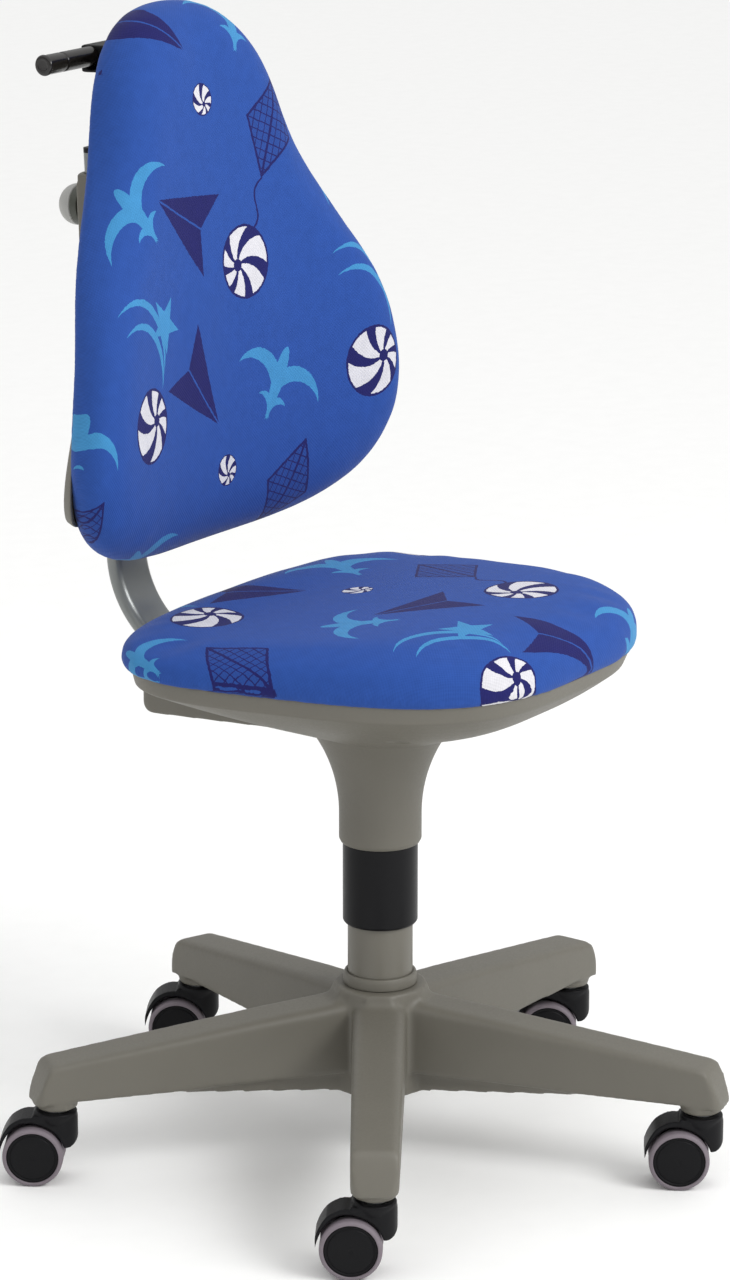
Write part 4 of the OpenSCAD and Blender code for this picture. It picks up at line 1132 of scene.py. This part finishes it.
class CHAIR_OT_back_fittings(bpy.types.Operator):
    """Housing, clamp knob and handle behind the backrest"""
    bl_idname = "chair.back_fittings"
    bl_label = "Back fittings"

    def execute(self, context):
        housing = mould_copy("back_housing_moulding", "back_housing", 1.4, 5)
        upside = UPRIGHT.inverted()
        for v in housing.data.vertices:
            # The top narrows to the sleeve, comes in at its rear, and ends lower
            spot = (upside @ v.co) / MM
            spare = max(0, abs(spot.x) - SLEEVE_HALF)
            spot.x -= math.copysign(spare * ramp(spot.z, 295, 335), spot.x)
            spot.y -= 0.7 * max(0, spot.y - 7.5) * ramp(spot.z, 307, 325)
            spot.z -= 0.7 * max(0, spot.z - 308)
            v.co = UPRIGHT @ (spot * MM)
        dress(housing, "moulded_abs_taupe", "back_housing")
        out = UPRIGHT @ Matrix.Translation((0, 0, KNOB_UP * MM)) @ Matrix.Rotation(-math.pi / 2, 4, "X")
        ring = soften([(4.05, 19), (17, 19), (17, 26), (4.05, 26)], 0.8)
        dress(solid("clamp_collar_ring", *turned(ring, out)), "moulded_abs_olive", "clamp_collar")
        arc = [math.radians(a) for a in range(0, 91, 6)]
        dome = [(17 * math.cos(a), 29.3 + 15 * math.sin(a)) for a in arc]
        dome[-1] = (0, 44.3)
        profile = [(0, 36.9), (4.05, 36.9), (4.05, 26.3), (16.4, 26.3), (17, 26.9)] + dome
        dress(solid("clamp_knob_dome", *turned(profile, out)), "moulded_abs_light_grey", "clamp_knob")
        bracket = mould_copy("handle_bracket_moulding", "handle_bracket", 1.2, 5)
        foot = min(v.co.z for v in bracket.data.vertices)
        for v in bracket.data.vertices:
            v.co.z += HANDLE_RAISE * MM * ramp(v.co.z, foot, foot + 20 * MM)
        dress(bracket, "moulded_nylon_black", "handle_bracket")
        middle = Matrix.Translation((0, HANDLE_BACK * MM, HANDLE_UP * MM))
        along = UPRIGHT @ middle @ Matrix.Rotation(math.pi / 2, 4, "Y")
        rod = soften([(0, -82), (8, -82), (8, -63), (7.3, -62), (7.3, -60.5), (8, -59.5), (8, 59.5),
                      (7.3, 60.5), (7.3, 62), (8, 63), (8, 82), (0, 82)], 0.5)
        dress(solid("handle_rod", *turned(rod, along)), "polished_nylon_black", "handle_bar")
        cap = [(0, 82), (8.5, 82), (8.5, 83.4), (7.4, 84.8), (5, 85), (4.4, 84.5), (0, 84.3)]
        far_cap = [(r, -h) for r, h in reversed(cap)]
        caps = joined(turned(soften(cap, 0.7), along), turned(soften(far_cap, 0.7), along))
        dress(solid("handle_end_caps", *caps), "polished_nylon_black", "handle_caps")
        return {"FINISHED"}


class CHAIR_OT_hand_controls(bpy.types.Operator):
    """Grip of the height lever and knob of the seat's depth"""
    bl_idname = "chair.hand_controls"
    bl_label = "Hand controls"

    def execute(self, context):
        grip = mould_copy("lever_grip_moulding", "lever_grip", 0.9, 4)
        dress(grip, "moulded_nylon_black", "lever_grip")
        knob = mould_copy("depth_knob_moulding", "depth_knob", 0.7, 3)
        dress(knob, "moulded_nylon_black", "depth_knob")
        return {"FINISHED"}


class CHAIR_OT_castors(bpy.types.Operator):
    """Hoods, wheel discs and tyres of the five castors"""
    bl_idname = "chair.castors"
    bl_label = "Castors"

    def execute(self, context):
        rim = DISC_R
        # The disc's outer face has a rim, a groove inside it, and a hollow at the axle
        disc = soften([(3.05, 0), (rim - 0.4, 0), (rim, 0.5), (rim, 13.6), (rim - 0.8, 14.1),
                       (rim - 1.8, 14.1), (rim - 2.3, 13.6), (rim - 2.9, 13.7), (rim - 3.4, 14.3),
                       (12, 14.8), (6, 15), (2.2, 15), (1.6, 14.6), (0, 14.5), (0, 12.4),
                       (3.05, 12.4)], 0.35, 3)
        tyre = [(rim + 0.05, 0.6), (rim + 0.6, 0)]
        for middle, first in ((3, -90), (WHEEL_W - 3, 0)):
            arc = [math.radians(first + a) for a in range(0, 91, 10)]
            tyre += [(rim + 0.5 + 3 * math.cos(a), middle + 3 * math.sin(a)) for a in arc]
        tyre += [(rim + 0.6, WHEEL_W), (rim + 0.05, WHEEL_W - 0.6)]
        neck = soften([(9.6, HOOD_TOP - 6), (15, HOOD_TOP - 6), (17, HOOD_TOP), (17, HOOD_TOP + 2.6),
                       (9.6, HOOD_TOP + 2.6)], 0.6)
        behind = Vector((math.cos(CASTOR_HEADING), math.sin(CASTOR_HEADING), 0))
        for n in CASTORS:
            low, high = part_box(f"castor_{n}_wheels")
            axle = (low + high) / 2
            stem = axle - behind * CASTOR_TRAIL * MM
            stem.z = 0
            hood = mould_copy(f"castor_{n}_hood_moulding", f"castor_{n}_hood", 0.9, 3,
                              turned(neck, Matrix.Translation(stem), 48))
            for v in hood.data.vertices:
                # The rear of the hood grows out from the axle, and its lip comes down over the wheels
                rear = (v.co - axle).dot(behind)
                share = 0.09 * ramp(rear / MM, -10, 8)
                v.co += behind * max(0, rear) * share + Vector((0, 0, v.co.z - axle.z)) * share
                v.co.z -= HOOD_LIP * ramp(rear / MM, 0, 15) * (1 - ramp(v.co.z / MM, 33, 50)) * MM
            dress(hood, "moulded_nylon_black", f"castor_{n}_hood")
            sides = []
            for side in (1, -1):
                sides.append(Matrix.Translation(axle) @ Matrix.Rotation(CASTOR_HEADING, 4, "Z")
                             @ Matrix.Translation((0, side * WHEEL_IN * MM, 0))
                             @ Matrix.Rotation(-side * math.pi / 2, 4, "X"))
            discs = solid(f"castor_{n}_discs", *joined(*(turned(disc, place, 72) for place in sides)))
            dress(discs, "moulded_pp_disc", f"castor_{n}_wheels")
            treads = solid(f"castor_{n}_treads", *joined(*(turned(tyre, place, 72) for place in sides)))
            dress(treads, "cast_polyurethane_tread", f"castor_{n}_tyres")
        return {"FINISHED"}


class CHAIR_OT_finishes(bpy.types.Operator):
    """Makes every material and gives the packed parts that stay in view theirs"""
    bl_idname = "chair.finishes"
    bl_label = "Finishes"

    def execute(self, context):
        tint = context.scene.chair_colours
        moulded_plastic("moulded_abs_taupe", tint.taupe, 0.52)
        moulded_plastic("moulded_abs_black", tint.black, 0.36, 1.8, 0.03, shine=0.12)
        moulded_plastic("moulded_nylon_black", tint.black, 0.4, 1.6, 0.05, shine=0.12)
        moulded_plastic("moulded_pp_disc", tint.disc, 0.45, 1.4, 0.04, shine=0.12)
        moulded_plastic("moulded_abs_olive", tint.collar, 0.45)
        moulded_plastic("moulded_abs_light_grey", tint.knob, 0.4, 1.8, 0.03, 0.03)
        moulded_plastic("turned_acetal_white", srgb("#DAD8D0"), 0.35)
        moulded_plastic("turned_acetal_red", srgb("#B8392C"), 0.35)
        powder_coat("powder_coated_steel", tint.column)
        powder_coat("black_lacquered_steel", srgb("#1F2022"))
        silver_lacquer("silver_lacquered_steel", tint.bar)
        gloss_plastic("polished_nylon_black", tint.handle, 0.16)
        soft_rubber("cast_polyurethane_tread", tint.tyre)
        soft_rubber("nitrile_rubber", srgb("#262626"))
        plated_steel("zinc_plated_steel", srgb("#B9BABB"))
        plated_steel("pressed_galvanised_steel", srgb("#9A9C9E"), 0.42, (12.0, 1.0, 1.0))
        birch_plywood("birch_plywood")
        printed_cloth("printed_polyester_weave", context.scene.chair_print)
        kept = {"frame_plastic": "moulded_abs_taupe", "column_paint": "powder_coated_steel",
                "black_plastic": "moulded_nylon_black", "gloss_black": "polished_nylon_black",
                "olive_plastic": "moulded_abs_olive", "knob_plastic": "moulded_abs_light_grey",
                "white_plastic": "turned_acetal_white", "red_plastic": "turned_acetal_red",
                "tread_rubber": "cast_polyurethane_tread", "black_rubber": "nitrile_rubber",
                "bar_steel": "silver_lacquered_steel", "black_steel": "black_lacquered_steel",
                "bright_steel": "zinc_plated_steel", "plate_steel": "pressed_galvanised_steel",
                "plywood": "birch_plywood", "blue_fabric": "printed_polyester_weave"}
        for node, part in NODES.items():
            part.data.materials.clear()
            part.data.materials.append(bpy.data.materials[kept[SLOTS[node]]])
        return {"FINISHED"}


class CHAIR_OT_studio(bpy.types.Operator):
    """Floor, soft light and the camera at the photograph's place"""
    bl_idname = "chair.studio"
    bl_label = "Studio"

    def execute(self, context):
        scene = context.scene
        studio = scene.chair_studio
        eye = bpy.data.objects.new("camera", bpy.data.cameras.new("camera"))
        scene.collection.objects.link(eye)
        eye.location = studio.eye
        eye.rotation_euler = (math.pi / 2 - studio.tilt, 0, -studio.heading)
        eye.data.lens = studio.lens
        eye.data.sensor_width = 36
        eye.data.clip_end = 100
        scene.camera = eye
        half = 30
        corners = [(-half, -half, 0), (half, -half, 0), (half, half, 0), (-half, half, 0)]
        ground = solid("studio_floor", corners, [(0, 1, 2, 3)])
        finish, tree, place = start_finish("matt_paper_floor")
        fibres = noise(tree, place, 30, 3.0)
        tone = mix(tree, fibres, rgba(srgb("#F7F7F6")), rgba(srgb("#FCFCFB")))
        close_finish(tree, Base_Color=tone, Roughness=0.9)
        ground.data.materials.append(finish)
        world = bpy.data.worlds.new("soft_sky")
        world.use_nodes = True
        world.node_tree.nodes.clear()
        sky = world.node_tree
        up = add(sky, "SeparateXYZ", add(sky, "TexCoord").outputs["Generated"])
        strength = add(sky, "MapRange", up.outputs["Z"], 0.0, 1.0, studio.rim, studio.sky)
        light = add(sky, "Background", (1.0, 1.0, 1.0, 1.0), strength)
        add(sky, "OutputWorld", light)
        scene.world = world
        box = bpy.data.objects.new("soft_box", bpy.data.lights.new("soft_box", "AREA"))
        scene.collection.objects.link(box)
        box.data.shape = "RECTANGLE"
        box.data.size = 1.6
        box.data.size_y = 1.2
        box.data.energy = studio.key
        box.location = (0.0, -2.6, 2.3)
        aim = Vector((0, 0, 0.5)) - box.location
        box.rotation_euler = aim.to_track_quat("-Z", "Y").to_euler()
        scene.view_settings.view_transform = "Standard"
        return {"FINISHED"}


PIECES = (CHAIR_OT_finishes, CHAIR_OT_base, CHAIR_OT_column, CHAIR_OT_castors, CHAIR_OT_seat_pan,
          CHAIR_OT_back_bar, CHAIR_OT_back_shell, CHAIR_OT_back_fittings, CHAIR_OT_hand_controls,
          CHAIR_OT_seat_cushion, CHAIR_OT_back_cushion, CHAIR_OT_studio)


class CHAIR_PT_panel(bpy.types.Panel):
    """Lists the chair's settings and the operators that make its pieces"""
    bl_idname = "CHAIR_PT_panel"
    bl_label = "Growing chair"
    bl_space_type = "VIEW_3D"
    bl_region_type = "UI"
    bl_category = "Chair"

    def draw(self, context):
        for operator in PIECES:
            self.layout.operator(operator.bl_idname)
        for name, group in SETTINGS.items():
            box = self.layout.box()
            box.label(text=group.__doc__)
            for setting in group.__annotations__:
                box.prop(getattr(context.scene, name), setting)


CLASSES = (*SETTINGS.values(), *PIECES, CHAIR_PT_panel)


def register():
    """Adds the chair's settings, operators and panel."""
    for item in CLASSES:
        bpy.utils.register_class(item)
    for name, group in SETTINGS.items():
        setattr(bpy.types.Scene, name, PointerProperty(type=group))


def unregister():
    """Takes the chair's settings, operators and panel away again."""
    for name in SETTINGS:
        delattr(bpy.types.Scene, name)
    for item in reversed(CLASSES):
        bpy.utils.unregister_class(item)


def main():
    """Makes the whole chair."""
    register()
    for operator in PIECES:
        getattr(bpy.ops.chair, operator.bl_idname.split(".")[1])()


if __name__ == "__main__":
    main()
